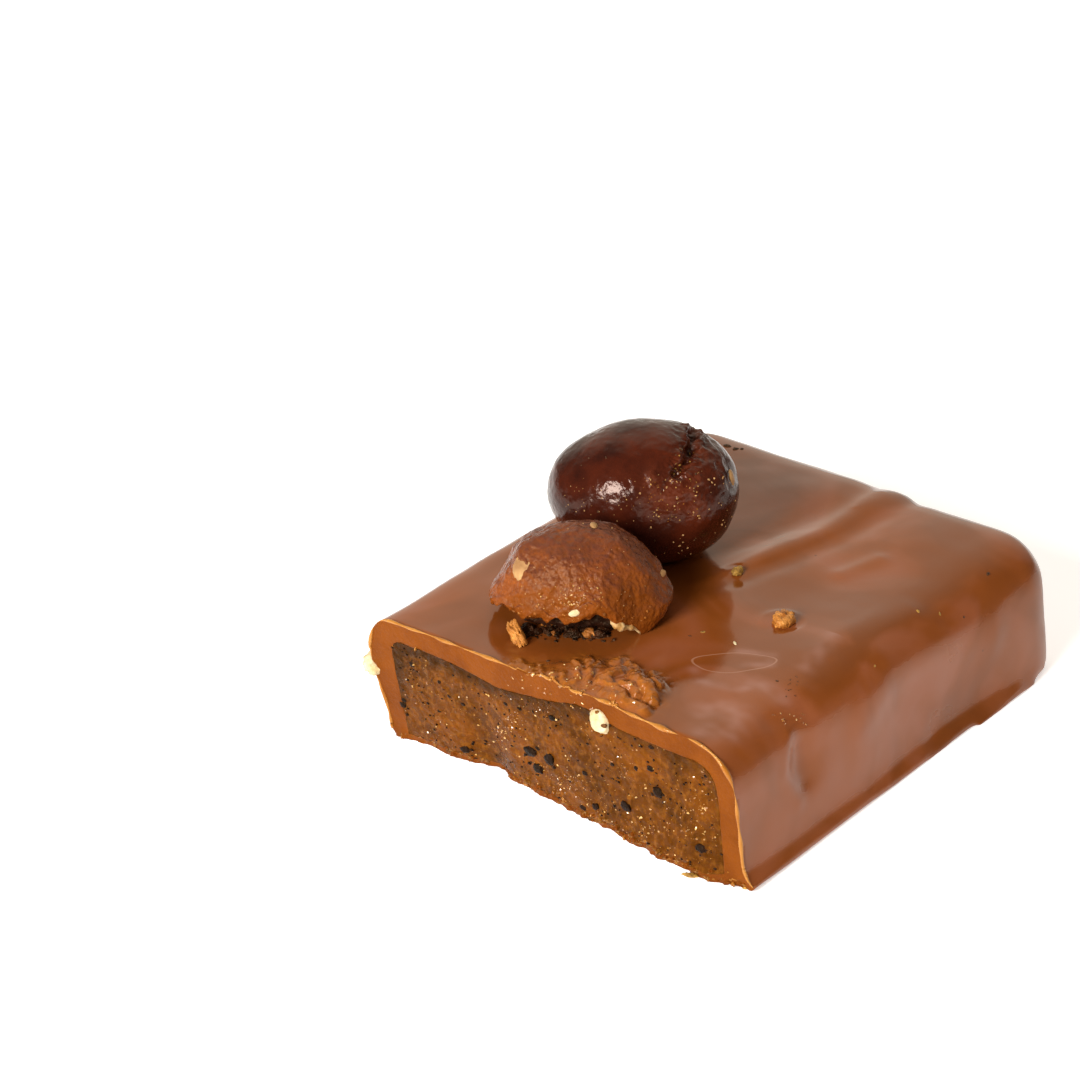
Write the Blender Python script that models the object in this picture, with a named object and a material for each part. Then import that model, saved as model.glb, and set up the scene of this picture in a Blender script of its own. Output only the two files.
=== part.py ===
# Half of a milk chocolate coated coffee toffee bar, cut across, with two coffee beans on top.
#
# The bar lies on its flat base with the cut face towards -Y, and +Z is up. Sizes are in
# millimetres, and every mesh is made in metres. The shapes are laid out from the left foot of
# the cut face: x along the cut, y away from it, z up from the base. At the end an empty moves
# the whole so that the origin is at the middle of the base of its bounding box.

import bisect
import math

import bmesh
import bpy
from mathutils import Matrix, Vector, noise

MM = 0.001
GAP = 0.3                     # clearance between neighbouring solids

# Bar
BAR_WIDTH = 31.1              # along the cut face, at half height
BAR_LENGTH = 38.0
BAR_HEIGHT = 10.1
LEFT_RADIUS = 1.5             # top edge on the left
RIGHT_RADIUS = 3.2            # top edge on the right
END_REACH = 3.0               # rounding of the far end, along the bar
END_TOP = 2.0                 # and how far it falls, draws in and lifts
END_LEFT = 3.8
END_RIGHT = 2.3
END_BASE = 0.7

# Coating
SKIN = 0.4                    # chocolate under the toffee
LEFT_WALL = 1.65
RIGHT_WALL = 1.4
TOP_WALL = 1.4
END_WALL = 1.8
LEFT_BULGE = 1.05             # the left side swells outwards
LEFT_BULGE_HEIGHT = 6.3
LEFT_BULGE_REACH = 2.7
RIGHT_DRAFT = 0.115           # the right side leans in, per millimetre of height
FOOT_FLARE = 0.9              # run of chocolate round the foot of the right side
FOOT_REACH = 0.7
FOOT_END = 33.0
END_SPREAD = 0.8              # the right side stands wider at the far end

# Cut
CUT_LEAN = 0.08               # the top overhangs the foot
CUT_FADE = 9.0                # the cut's form dies out this far into the bar
FOOT_BACK = 0.78              # foot of the cut on the left, behind the cut line
FOOT_FRONT = -1.02            # and on the right, in front of it
FOOT_TURN = (12.5, 27.0)      # where it crosses over
FOOT_HOOK = 0.65              # it draws back again under the right side
CHIP_X = 8.9                  # shallow chip out of the foot
CHIP_REACH = 1.5
CHIP_DEPTH = 0.95
ARCH_X = 29.4                 # small arch under the right foot of the cut
ARCH_REACH = 0.7
ARCH_HEIGHT = 0.7
ARCH_DEPTH = 1.5
GRAIN = 0.16                  # roughness of the cut toffee
GRAIN_SIZE = 1.6

# Top of the toffee under the coating: a hollow and a crown
HOLLOW = (11.2, 2.8, -0.7)    # x, reach, height
CROWN = (18.6, 2.0, 0.85)
CROWN_FADE = 9.0

# Relief of the chocolate on top: x, y, reach across, reach along, height
SWELLS = (
    (5.0, 2.0, 3.0, 5.0, 0.1),        # left shoulder of the cut
    (14.2, 0.0, 1.6, 1.8, -0.3),      # saddle beside the crunchy patch
    (19.4, 0.6, 1.5, 1.8, 0.45),      # crunchy patch
    (22.8, 0.0, 1.4, 1.2, 0.35),      # drip on the cut edge
    (14.0, 8.0, 4.0, 4.0, -0.12),     # pool in front of the beans
    (13.0, 29.0, 4.0, 7.0, 0.2),      # broad back left
    (16.5, 34.5, 3.2, 3.0, 0.3),      # end of the crease
    (23.5, 31.0, 3.0, 4.0, 0.25),     # hump at the back right
    (22.5, 21.0, 2.5, 6.0, -0.22),    # long dip beside it
    (27.0, 14.0, 2.2, 8.0, 0.22),     # shoulder along the right side
    (27.0, 4.0, 1.4, 1.6, -0.18),     # dimple near the cut
)
CREASE = ((15.6, 18.4), (16.6, 22.0), (18.0, 28.0), (18.5, 36.0))
CREASE_HEIGHT = 0.34
CREASE_REACH = 0.9
RIPPLE = 0.10                 # slow waviness of set chocolate
RIPPLE_LENGTH = 9.0

# Relief of the right side: y, z, reach along, reach up, depth
SIDE_DENTS = (
    (7.0, 5.9, 1.7, 1.4, -0.35),      # oval dent
    (15.0, 5.0, 3.0, 3.0, 0.22),
    (22.2, 0.6, 0.9, 0.7, -0.4),      # notch at the foot
    (29.0, 5.5, 4.0, 3.0, 0.2),
)

# Beans: half length, half width, half height, then where the middle is
DARK_BEAN_SIZE = (6.6, 5.05, 5.05)
DARK_BEAN_PLACE = (9.05, 17.95, 14.8)
MILK_BEAN_SIZE = (6.35, 4.35, 4.7)
MILK_BEAN_PLACE = (11.0, 8.2, 12.0)
BEAN_TURN = math.radians(38.0)        # both beans lie this way
BEAN_LUMP = 0.16
BEAN_LUMP_SIZE = 3.2

# Crease of the dark bean: normal of its plane and its middle, in the bean's own directions
FURROW_NORMAL = Vector((0.835, -0.095, -0.542))
FURROW_MIDDLE = Vector((0.41, -0.45, 0.79))
FURROW_REACH = 0.1
FURROW_SPAN = 0.62
FURROW_DEPTH = 0.6

# Broken bean: wall, and the height of its rim over the bar round the opening
SHELL_WALL = 0.75
RIM_FRONT = 1.45
RIM_BACK = 0.35
MOUTH_TURN = -66.0            # degrees round from the bean's long axis
MOUTH_SPAN = 17.0
MOUTH_RISE = 0.6
LOBE_TURN = -38.0
LOBE_SPAN = 13.0
LOBE_DROP = 1.25
RIM_RAGGED = 0.22
REMAINS_SIZE = (4.6, 2.7, 2.4)
REMAINS_ROUGH = 0.2

# Loose bits: x, y, length, width, height, turn in degrees
SHELL_CHIP = (9.15, 2.9, 2.3, 1.0, 0.9, 104.0)
CRUMB = (22.6, 15.6, 2.0, 1.4, 1.1, 20.0)
SEED_CRUMB = (16.1, 19.3, 0.9, 0.7, 0.6, 50.0)
NIB = (19.3, 8.45, 1.25, 1.4, 0.6)   # x, z, width, height, how far it stands proud
PALE_CRUMB = (-1.1, 0.15, 5.4, 1.5)   # x, y, z, size
PATCH_X = (14.9, 21.6)                # crunchy patch on the cut edge
PATCH_Y = (0.6, 2.9)
PATCH_LUMPS = 8
PATCH_LUMP_SIZE = 1.9
PATCH_SUNK = 0.6
SUNK = 0.35                           # share of a bit's height that is under the chocolate


def clear_scene():
    for thing in list(bpy.data.objects):
        bpy.data.objects.remove(thing, do_unlink=True)


def finish(name, colour, roughness, metallic=0.0):
    material = bpy.data.materials.new(name)
    material.use_nodes = True
    shader = material.node_tree.nodes["Principled BSDF"]
    shader.inputs["Base Color"].default_value = (*colour, 1.0)
    shader.inputs["Roughness"].default_value = roughness
    shader.inputs["Metallic"].default_value = metallic
    return material


def bell(distance, reach):
    return math.exp(-(distance / reach) ** 2)


def ramp(value, low, high):
    return min(1.0, max(0.0, (value - low) / (high - low)))


def ease(value, low, high):
    share = ramp(value, low, high)
    return share * share * (3.0 - 2.0 * share)


def wobble(x, y, z, size, seed):
    return noise.noise(Vector((x / size + 7.3 * seed, y / size - 3.1 * seed, z / size + seed)))


# Relief of the bar

def crease_x(y):
    ys = [point[1] for point in CREASE]
    after = min(len(CREASE) - 1, max(1, bisect.bisect(ys, y)))
    (x0, y0), (x1, y1) = CREASE[after - 1], CREASE[after]
    return x0 + (x1 - x0) * ramp(y, y0, y1)


def top_relief(x, y):
    height = 0.0
    for middle_x, middle_y, across, along, rise in SWELLS:
        height += rise * bell(x - middle_x, across) * bell(y - middle_y, along)
    along_crease = ease(y, CREASE[0][1], CREASE[1][1])
    beside = x - crease_x(y)
    height += CREASE_HEIGHT * along_crease * bell(beside, CREASE_REACH)
    height -= 0.4 * CREASE_HEIGHT * along_crease * bell(beside + 2.2 * CREASE_REACH, CREASE_REACH)
    return height + RIPPLE * wobble(x, y, 0.0, RIPPLE_LENGTH, 1)


def top_height(x, y):
    return BAR_HEIGHT + top_relief(x, y)


def base_lift(x, y):
    return ARCH_HEIGHT * bell(x - ARCH_X, ARCH_REACH) * bell(max(0.0, y), ARCH_DEPTH)


def side_shift(x, y, z):
    left = 0.2 - LEFT_BULGE * bell(z - LEFT_BULGE_HEIGHT, LEFT_BULGE_REACH)
    right = -RIGHT_DRAFT * z
    right += FOOT_FLARE * bell(z, FOOT_REACH) * (1.0 - ease(y, FOOT_END - 3.0, FOOT_END + 3.0))
    right += END_SPREAD * ease(y, 26.0, 36.0)
    for middle_y, middle_z, along, up, depth in SIDE_DENTS:
        right += depth * bell(y - middle_y, along) * bell(z - middle_z, up)
    left += 0.25 * wobble(0.0, y, z, 8.0, 2)
    share = ramp(x, 0.0, BAR_WIDTH)
    return (1.0 - share) * left + share * right


def cut_shift(x, z):
    foot = FOOT_BACK + (FOOT_FRONT - FOOT_BACK) * ramp(x, *FOOT_TURN)
    foot += FOOT_HOOK * ramp(x, FOOT_TURN[1], BAR_WIDTH)
    foot += CHIP_DEPTH * bell(x - CHIP_X, CHIP_REACH)
    up = ramp(z, 0.0, BAR_HEIGHT)
    return foot * (1.0 - up) ** 1.5 - CUT_LEAN * z


def shape_bar(x, y, z):
    """Moves a point of the plain block to its place in the outer form of the bar."""
    up = z / BAR_HEIGHT
    fade = 1.0 - ramp(y, 0.0, CUT_FADE)
    return (x + side_shift(x, y, z),
            y + cut_shift(x, z) * fade,
            z + top_relief(x, y) * up ** 2 + base_lift(x, y) * (1.0 - up) ** 4)


def shape_core(x, y, z):
    """The same for the toffee, whose top has a hollow and a crown of its own."""
    up = ramp(z, SKIN, BAR_HEIGHT - TOP_WALL)
    left = -0.05 * z
    right = -RIGHT_DRAFT * z
    share = ramp(x, 0.0, BAR_WIDTH)
    rise = 0.0
    for middle, reach, height in (HOLLOW, CROWN):
        rise += height * bell(x - middle, reach) * (1.0 - ramp(y, 0.0, CROWN_FADE))
    return (x + (1.0 - share) * left + share * right,
            y,
            z + rise * up ** 2 + base_lift(x, y) * (1.0 - up) ** 4)


# Solid builders

def write_mesh(name, bm, material, parent, smooth=True):
    bmesh.ops.recalc_face_normals(bm, faces=bm.faces)
    bmesh.ops.transform(bm, matrix=Matrix.Scale(MM, 4), verts=bm.verts)
    mesh = bpy.data.meshes.new(name)
    bm.to_mesh(mesh)
    bm.free()
    mesh.materials.append(material)
    if smooth:
        mesh.shade_smooth()
        mesh.set_sharp_from_angle(angle=math.radians(50.0))
    piece = bpy.data.objects.new(name, mesh)
    bpy.context.collection.objects.link(piece)
    piece.parent = parent
    return piece


def arc(middle_x, middle_z, radius, start, end, steps):
    points = []
    for step in range(steps):
        angle = math.radians(start + (end - start) * step / steps)
        points.append(Vector((middle_x + radius * math.cos(angle), middle_z + radius * math.sin(angle))))
    return points


def straight(start, end, steps):
    start = Vector(start)
    return [start.lerp(Vector(end), step / steps) for step in range(steps)]


def section_grid(left, right, base, top, left_radius, right_radius, across, up, turn=3):
    """Fills a section that has a flat base and two rounded top corners with a grid of points."""
    low = top - left_radius
    high = top - right_radius
    half = math.sqrt(0.5)
    left_corner = (left + left_radius * (1.0 - half), low + left_radius * half)
    right_corner = (right - right_radius * (1.0 - half), high + right_radius * half)
    top_side = arc(left + left_radius, low, left_radius, 135.0, 90.0, turn)
    top_side += straight((left + left_radius, top), (right - right_radius, top), across - 2 * turn)
    top_side += arc(right - right_radius, high, right_radius, 90.0, 45.0, turn) + [Vector(right_corner)]
    base_side = straight((left, base), (right, base), across) + [Vector((right, base))]
    left_side = straight((left, base), (left, low), up - turn)
    left_side += arc(left + left_radius, low, left_radius, 180.0, 135.0, turn) + [Vector(left_corner)]
    right_side = straight((right, base), (right, high), up - turn)
    right_side += arc(right - right_radius, high, right_radius, 0.0, 45.0, turn) + [Vector(right_corner)]
    grid = []
    for i in range(across + 1):
        u = i / across
        column = []
        for k in range(up + 1):
            w = k / up
            point = (1.0 - w) * base_side[i] + w * top_side[i]
            point += (1.0 - u) * left_side[k] + u * right_side[k]
            point -= (1.0 - u) * ((1.0 - w) * base_side[0] + w * top_side[0])
            point -= u * ((1.0 - w) * base_side[-1] + w * top_side[-1])
            column.append(point)
        grid.append(column)
    return grid


def block(grid, stations, place):
    """Closed block with the section grid at every station; place gives each point's position."""
    bm = bmesh.new()
    across, up, along = len(grid) - 1, len(grid[0]) - 1, len(stations) - 1
    made = {}

    def corner(i, j, k):
        if (i, j, k) not in made:
            made[i, j, k] = bm.verts.new(place(grid[i][k], stations[j]))
        return made[i, j, k]

    def side(count_a, count_b, at):
        for a in range(count_a):
            for b in range(count_b):
                ring = ((a, b), (a + 1, b), (a + 1, b + 1), (a, b + 1))
                bm.faces.new([corner(*at(*pair)) for pair in ring])

    for k in (0, up):
        side(across, along, lambda a, b, k=k: (a, b, k))
    for j in (0, along):
        side(across, up, lambda a, b, j=j: (a, j, b))
    for i in (0, across):
        side(along, up, lambda a, b, i=i: (i, a, b))
    return bm


def lump(size, seed, detail=2, rough=0.22):
    """Uneven lump with half sizes as given, about its own middle."""
    bm = bmesh.new()
    bmesh.ops.create_icosphere(bm, subdivisions=detail, radius=1.0)
    for vert in bm.verts:
        swell = 1.0 + rough * wobble(*vert.co, 0.7, seed)
        vert.co = Vector(side * half * swell for side, half in zip(vert.co, size))
    return bm


def turned(bm, degrees, place):
    matrix = Matrix.Translation(Vector(place)) @ Matrix.Rotation(math.radians(degrees), 4, "Z")
    bmesh.ops.transform(bm, matrix=matrix, verts=bm.verts)
    return bm


def keep_above(bm, clearance):
    """Flattens the underside of a lump where it lies on the bar."""
    for vert in bm.verts:
        vert.co.z = max(vert.co.z, top_height(vert.co.x, vert.co.y) + clearance)


def boolean(piece, operation, name, other=None, group=None):
    modifier = piece.modifiers.new(name, "BOOLEAN")
    modifier.operation = operation
    modifier.solver = "EXACT"
    if group:
        modifier.operand_type = "COLLECTION"
        modifier.collection = group
    else:
        modifier.object = other
    return modifier


def as_cutter(piece):
    piece.hide_render = True
    piece.display_type = "WIRE"
    return piece


def fuse(piece, makers, material, parent):
    """Joins small bits to the piece with one union, and removes what they were made from."""
    group = bpy.data.collections.new(piece.name + "_bits")
    bpy.context.scene.collection.children.link(group)
    bits = []
    for number, bm in enumerate(makers):
        bit = write_mesh(f"{piece.name}_bit_{number}", bm, material, parent)
        bpy.context.collection.objects.unlink(bit)
        group.objects.link(bit)
        bits.append(bit)
    boolean(piece, "UNION", "bits", group=group)
    bake(piece)
    for bit in bits:
        bpy.data.objects.remove(bit, do_unlink=True)
    bpy.data.collections.remove(group)


def bake(piece):
    """Replaces the piece's mesh by what its modifiers make of it."""
    bpy.context.view_layer.update()
    graph = bpy.context.evaluated_depsgraph_get()
    mesh = bpy.data.meshes.new_from_object(piece.evaluated_get(graph))
    piece.modifiers.clear()
    piece.data = mesh


# The pieces

def far_stations(length, reach, straight_steps, round_steps):
    """Distance along the bar and share of the end's rounding, for each ring."""
    stations = [((length - reach) * (step / straight_steps) ** 1.15, 0.0) for step in range(straight_steps)]
    for step in range(round_steps + 1):
        angle = 0.5 * math.pi * step / round_steps
        stations.append((length - reach * (1.0 - math.sin(angle)), 1.0 - math.cos(angle)))
    return stations


def make_coating(material, parent):
    grid = section_grid(0.0, BAR_WIDTH, 0.0, BAR_HEIGHT, LEFT_RADIUS, RIGHT_RADIUS, 30, 9)
    middle = 0.5 * BAR_WIDTH

    def place(point, station):
        y, rounding = station
        draw = END_LEFT if point.x < middle else END_RIGHT
        x = middle + (point.x - middle) * (1.0 - rounding * draw / middle)
        share = point.y / BAR_HEIGHT
        z = point.y + rounding * (END_BASE * (1.0 - share) - END_TOP * share)
        y += 0.35 * rounding * wobble(x, 0.0, z, 6.0, 3)
        return shape_bar(x, y, z)

    bm = block(grid, far_stations(BAR_LENGTH, END_REACH, 21, 4), place)
    bmesh.ops.dissolve_limit(bm, angle_limit=math.radians(0.5), verts=bm.verts, edges=bm.edges)
    return write_mesh("coating", bm, material, parent)


def core_grid(clearance, across, up):
    return section_grid(LEFT_WALL + clearance, BAR_WIDTH - RIGHT_WALL - clearance, SKIN + clearance,
                        BAR_HEIGHT - TOP_WALL - clearance, 0.8, 1.4, across, up, turn=2)


def make_cavity(material, parent):
    far = BAR_LENGTH - END_WALL
    stations = (-3.0, 0.0, 2.0, 4.5, CROWN_FADE, 0.5 * BAR_LENGTH, far)
    bm = block(core_grid(0.0, 16, 6), stations, lambda point, y: shape_core(point.x, y, point.y))
    return as_cutter(write_mesh("cavity_cutter", bm, material, parent))


def make_toffee(material, parent):
    far = BAR_LENGTH - END_WALL - GAP
    stations = (0.0, 1.5, 4.5, CROWN_FADE, 0.5 * BAR_LENGTH, far)

    def place(point, y):
        x, level, z = shape_core(point.x, y, point.y)
        level += cut_shift(x, z) * (1.0 - ramp(y, 0.0, CUT_FADE))
        if y == 0.0:
            level += GRAIN * wobble(x, 0.0, z, GRAIN_SIZE, 4)
        return (x, level, z)

    bm = block(core_grid(GAP, 32, 9), stations, place)
    return write_mesh("toffee", bm, material, parent)


def bean_surface(bm, size, seed, grow=0.0, furrow=False):
    for vert in bm.verts:
        unit = vert.co.normalized()
        radius = 1.0 + BEAN_LUMP * wobble(*(unit * size[0]), BEAN_LUMP_SIZE, seed) / size[1]
        if furrow:
            across = unit.dot(FURROW_NORMAL.normalized())
            along = (unit - FURROW_MIDDLE.normalized()).length
            radius -= FURROW_DEPTH / size[1] * bell(across, FURROW_REACH) * bell(along, FURROW_SPAN)
        vert.co = Vector(side * (half + grow) * radius for side, half in zip(unit, size))


def bean_matrix(place):
    return Matrix.Translation(Vector(place)) @ Matrix.Rotation(BEAN_TURN, 4, "Z")


def make_dark_bean(name, material, parent, grow=0.0, detail=4):
    bm = bmesh.new()
    bmesh.ops.create_icosphere(bm, subdivisions=detail, radius=1.0)
    bean_surface(bm, DARK_BEAN_SIZE, 5, grow, furrow=grow == 0.0)
    bmesh.ops.transform(bm, matrix=bean_matrix(DARK_BEAN_PLACE), verts=bm.verts)
    return write_mesh(name, bm, material, parent)


def rim_height(degrees, inner):
    """Height of the broken rim over the bar, round the bean from its long axis."""
    front = ease(math.cos(math.radians(degrees + 90.0)), -0.3, 0.5)
    height = RIM_BACK + (RIM_FRONT - RIM_BACK) * front
    height += MOUTH_RISE * bell(degrees - MOUTH_TURN, MOUTH_SPAN)
    height -= LOBE_DROP * bell(degrees - LOBE_TURN, LOBE_SPAN)
    angle = math.radians(degrees)
    height += RIM_RAGGED * wobble(4.0 * math.cos(angle), 4.0 * math.sin(angle), inner, 0.9, 6)
    return max(RIM_BACK, height)


def make_milk_bean_shell(material, parent):
    """Dome of a broken bean: outer rows from the crown to the rim, then inner rows back up."""
    turns, outer_rows, inner_rows = 44, 11, 6
    frame = bean_matrix(MILK_BEAN_PLACE)
    bm = bmesh.new()

    def ring_point(size, share, degrees, inner):
        angle = math.radians(degrees)
        edge = Vector((math.cos(angle) * size[0], math.sin(angle) * size[1], 0.0))
        foot = frame @ edge
        rim = top_height(foot.x, foot.y) + rim_height(degrees, inner) - MILK_BEAN_PLACE[2]
        steep = math.acos(max(-0.9, rim / size[2]))
        polar = steep * share
        unit = Vector((math.cos(angle) * math.sin(polar), math.sin(angle) * math.sin(polar), math.cos(polar)))
        swell = 1.0 + 1.6 * BEAN_LUMP * wobble(*(unit * size[0]), 0.8 * BEAN_LUMP_SIZE, 7) / size[1]
        return frame @ Vector(side * half * swell for side, half in zip(unit, size))

    def dome(size, rows, inner):
        crown = bm.verts.new(ring_point(size, 0.0, 0.0, inner))
        rings = []
        for row in range(1, rows + 1):
            share = row / rows
            turn_list = [360.0 * step / turns - 180.0 for step in range(turns)]
            rings.append([bm.verts.new(ring_point(size, share, turn, inner)) for turn in turn_list])
        for step in range(turns):
            bm.faces.new((crown, rings[0][step - 1], rings[0][step]))
        for upper, lower in zip(rings, rings[1:]):
            bridge(upper, lower)
        return rings[-1]

    def bridge(upper, lower):
        for step in range(turns):
            bm.faces.new((upper[step - 1], upper[step], lower[step], lower[step - 1]))

    inside = tuple(half - SHELL_WALL for half in MILK_BEAN_SIZE)
    bridge(dome(MILK_BEAN_SIZE, outer_rows, 0.0), dome(inside, inner_rows, 1.0))
    return write_mesh("milk_bean_shell", bm, material, parent)


def make_milk_bean_core(material, parent):
    bm = lump(REMAINS_SIZE, 8, detail=3, rough=REMAINS_ROUGH)
    place = (MILK_BEAN_PLACE[0], MILK_BEAN_PLACE[1], BAR_HEIGHT + 0.8)
    bmesh.ops.transform(bm, matrix=bean_matrix(place), verts=bm.verts)
    keep_above(bm, GAP)
    return write_mesh("milk_bean_core", bm, material, parent)


def make_milk_bean_chip(material, parent):
    bm = loose_bit(SHELL_CHIP, 35, sunk=-0.2)
    keep_above(bm, GAP)
    return write_mesh("milk_bean_chip", bm, material, parent)


def loose_bit(bit, seed, sunk=SUNK):
    x, y, length, width, height, turn = bit
    bm = lump((0.5 * length, 0.5 * width, 0.5 * height), seed, rough=0.4)
    return turned(bm, turn, (x, y, top_height(x, y) + (0.5 - sunk) * height))


def patch_lumps():
    """Crunchy bits in the patch on the cut edge, in uneven rows."""
    for number in range(PATCH_LUMPS):
        row = number % 2
        share = (number + 0.5) / PATCH_LUMPS
        x = PATCH_X[0] + (PATCH_X[1] - PATCH_X[0]) * share
        y = PATCH_Y[0] + (PATCH_Y[1] - PATCH_Y[0]) * (0.25 + 0.5 * row) + 0.5 * wobble(x, row, 0.0, 0.9, 9)
        size = PATCH_LUMP_SIZE * (1.0 + 0.7 * wobble(x, 0.0, row, 1.3, 10))
        yield loose_bit((x, y, 1.3 * size, size, 0.8 * size, 40.0 * number), 11 + number, PATCH_SUNK)


def wall_crumb():
    x, y, z, size = PALE_CRUMB
    return turned(lump((0.5 * size, 0.5 * size, 0.5 * size), 31, rough=0.3), 0.0, (x, y, z))


def make_nib():
    x, z, width, height, proud = NIB
    bm = lump((0.5 * width, proud, 0.5 * height), 32, rough=0.25)
    return turned(bm, 0.0, (x, cut_shift(x, z), z))


def stand_on_origin(empty):
    """Moves everything so that the origin is at the middle of the base."""
    bpy.context.view_layer.update()
    graph = bpy.context.evaluated_depsgraph_get()
    corners = []
    for piece in empty.children:
        if piece.hide_render:
            continue
        solid = piece.evaluated_get(graph)
        corners += [solid.matrix_world @ vert.co for vert in solid.data.vertices]
    for axis in (0, 1):
        values = [corner[axis] for corner in corners]
        empty.location[axis] = -0.5 * (min(values) + max(values))


def main():
    clear_scene()
    empty = bpy.data.objects.new("coffee_toffee", None)
    bpy.context.collection.objects.link(empty)

    chocolate = finish("milk_chocolate", (0.30, 0.125, 0.055), 0.32)
    toffee_finish = finish("coffee_toffee_candy", (0.32, 0.13, 0.02), 0.38)
    dark = finish("dark_chocolate", (0.045, 0.012, 0.006), 0.22)
    dusty = finish("dusty_milk_chocolate", (0.26, 0.09, 0.035), 0.5)
    roasted = finish("roasted_coffee", (0.03, 0.014, 0.008), 0.7)

    coating = make_coating(chocolate, empty)
    cavity = make_cavity(chocolate, empty)
    toffee = make_toffee(toffee_finish, empty)
    make_dark_bean("dark_bean", dark, empty)
    seat = as_cutter(make_dark_bean("dark_bean_seat", dark, empty, grow=GAP, detail=3))
    make_milk_bean_shell(dusty, empty)
    make_milk_bean_core(roasted, empty)
    make_milk_bean_chip(dusty, empty)

    bits = [loose_bit(CRUMB, 33), loose_bit(SEED_CRUMB, 34), wall_crumb(), *patch_lumps()]
    fuse(coating, bits, chocolate, empty)
    fuse(toffee, [make_nib()], toffee_finish, empty)
    boolean(coating, "DIFFERENCE", "cavity", cavity)
    boolean(coating, "DIFFERENCE", "bean_seat", seat)
    stand_on_origin(empty)


main()
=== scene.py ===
import math
import random

import bmesh
import bpy
from mathutils import Matrix, Vector, noise
from mathutils.bvhtree import BVHTree


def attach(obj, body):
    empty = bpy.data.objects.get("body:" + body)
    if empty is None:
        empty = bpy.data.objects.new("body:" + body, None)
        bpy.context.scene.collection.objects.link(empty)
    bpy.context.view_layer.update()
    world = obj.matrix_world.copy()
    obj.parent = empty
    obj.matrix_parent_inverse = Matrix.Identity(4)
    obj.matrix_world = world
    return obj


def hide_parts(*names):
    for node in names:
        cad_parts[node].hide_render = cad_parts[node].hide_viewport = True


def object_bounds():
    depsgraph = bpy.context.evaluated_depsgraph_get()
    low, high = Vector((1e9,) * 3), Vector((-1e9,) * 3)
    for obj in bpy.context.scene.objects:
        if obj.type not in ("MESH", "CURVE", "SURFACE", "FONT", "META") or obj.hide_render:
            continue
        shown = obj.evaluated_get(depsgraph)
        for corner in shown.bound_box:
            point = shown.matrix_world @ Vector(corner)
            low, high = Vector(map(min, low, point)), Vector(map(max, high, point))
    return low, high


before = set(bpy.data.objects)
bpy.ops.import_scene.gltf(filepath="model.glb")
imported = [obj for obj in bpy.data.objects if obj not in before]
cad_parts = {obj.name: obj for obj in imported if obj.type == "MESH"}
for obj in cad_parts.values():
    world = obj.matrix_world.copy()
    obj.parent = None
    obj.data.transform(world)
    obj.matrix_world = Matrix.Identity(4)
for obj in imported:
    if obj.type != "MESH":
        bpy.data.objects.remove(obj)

lowCorner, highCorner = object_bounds()  # the solids' own box

# The bar is laid out in millimetres from the left foot of its cut face:
# x along the cut, y away from it, z up. at() turns that into metres in the frame.
mm = 0.001
cutFoot = Vector((lowCorner.x + 1.868 * mm, lowCorner.y + 1.264 * mm, 0.0))


def at(x, y, z=0.0):
    return cutFoot + Vector((x, y, z)) * mm


def inBar(point):
    return (point - cutFoot) / mm


def bell(distance, reach):
    return math.exp(-(distance / reach) ** 2)


def ramp(value, low, high):
    return min(1.0, max(0.0, (value - low) / (high - low)))


def ease(value, low, high):
    part = ramp(value, low, high)
    return part * part * (3.0 - 2.0 * part)


def wobble(point, size, seed):
    return noise.noise(Vector(point) / size + Vector((7.3, -3.1, 1.7)) * seed)


def crests(point, size, seed):
    # sharp little ridges, about -0.6 to 1
    return noise.ridged_multi_fractal(Vector(point) / size + Vector((1.9, 5.3, -2.7)) * seed,
                                      0.9, 2.1, 3, 1.0, 2.0) - 0.8


def levelled(points):
    return [Vector((point.x, point.y, 0.0)) for point in points]


def lineDistance(point, path):
    # how far a point lies from a line of points, and where along it
    nearest, along = math.inf, 0.0
    for index in range(len(path) - 1):
        start, end = path[index], path[index + 1]
        span = end - start
        part = min(1.0, max(0.0, (point - start).dot(span) / span.length_squared))
        away = (point - start - span * part).length
        if away < nearest:
            nearest, along = away, index + part
    return nearest, along


# Picking, copying, modifiers and edit mode

def deselect():
    if bpy.context.mode != "OBJECT":
        bpy.ops.object.mode_set(mode="OBJECT")
    bpy.ops.object.select_all(action="DESELECT")


def pick(*pieces):
    deselect()
    for piece in pieces:
        piece.select_set(True)
    bpy.context.view_layer.objects.active = pieces[0]


def copyOf(source, name):
    piece = bpy.data.objects.new(name, source.data.copy())
    bpy.context.collection.objects.link(piece)
    return piece


def editAll(piece):
    pick(piece)
    bpy.ops.object.mode_set(mode="EDIT")
    bpy.ops.mesh.select_mode(type="FACE")
    bpy.ops.mesh.select_all(action="SELECT")


def editFaces(piece, wanted):
    # opens edit mode with the faces selected whose centre in bar millimetres and normal are wanted
    editAll(piece)
    bpy.ops.mesh.select_all(action="DESELECT")
    mesh = bmesh.from_edit_mesh(piece.data)
    for face in mesh.faces:
        face.select_set(bool(wanted(inBar(face.calc_center_median()), face.normal)))
    bmesh.update_edit_mesh(piece.data)


def leaveEdit():
    bpy.ops.object.mode_set(mode="OBJECT")


def nodeCopy(nodeName, name):
    piece = copyOf(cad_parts[nodeName], name)
    piece.data.materials.clear()
    editAll(piece)
    bpy.ops.mesh.remove_doubles(threshold=1e-6)
    leaveEdit()
    return piece


def modify(piece, kind, **settings):
    pick(piece)
    modifier = piece.modifiers.new(kind, kind)
    for setting, value in settings.items():
        setattr(modifier, setting, value)
    bpy.ops.object.modifier_apply(modifier=modifier.name)


def carve(piece, cutter):
    modify(piece, "BOOLEAN", operation="DIFFERENCE", solver="EXACT", object=cutter)


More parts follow.
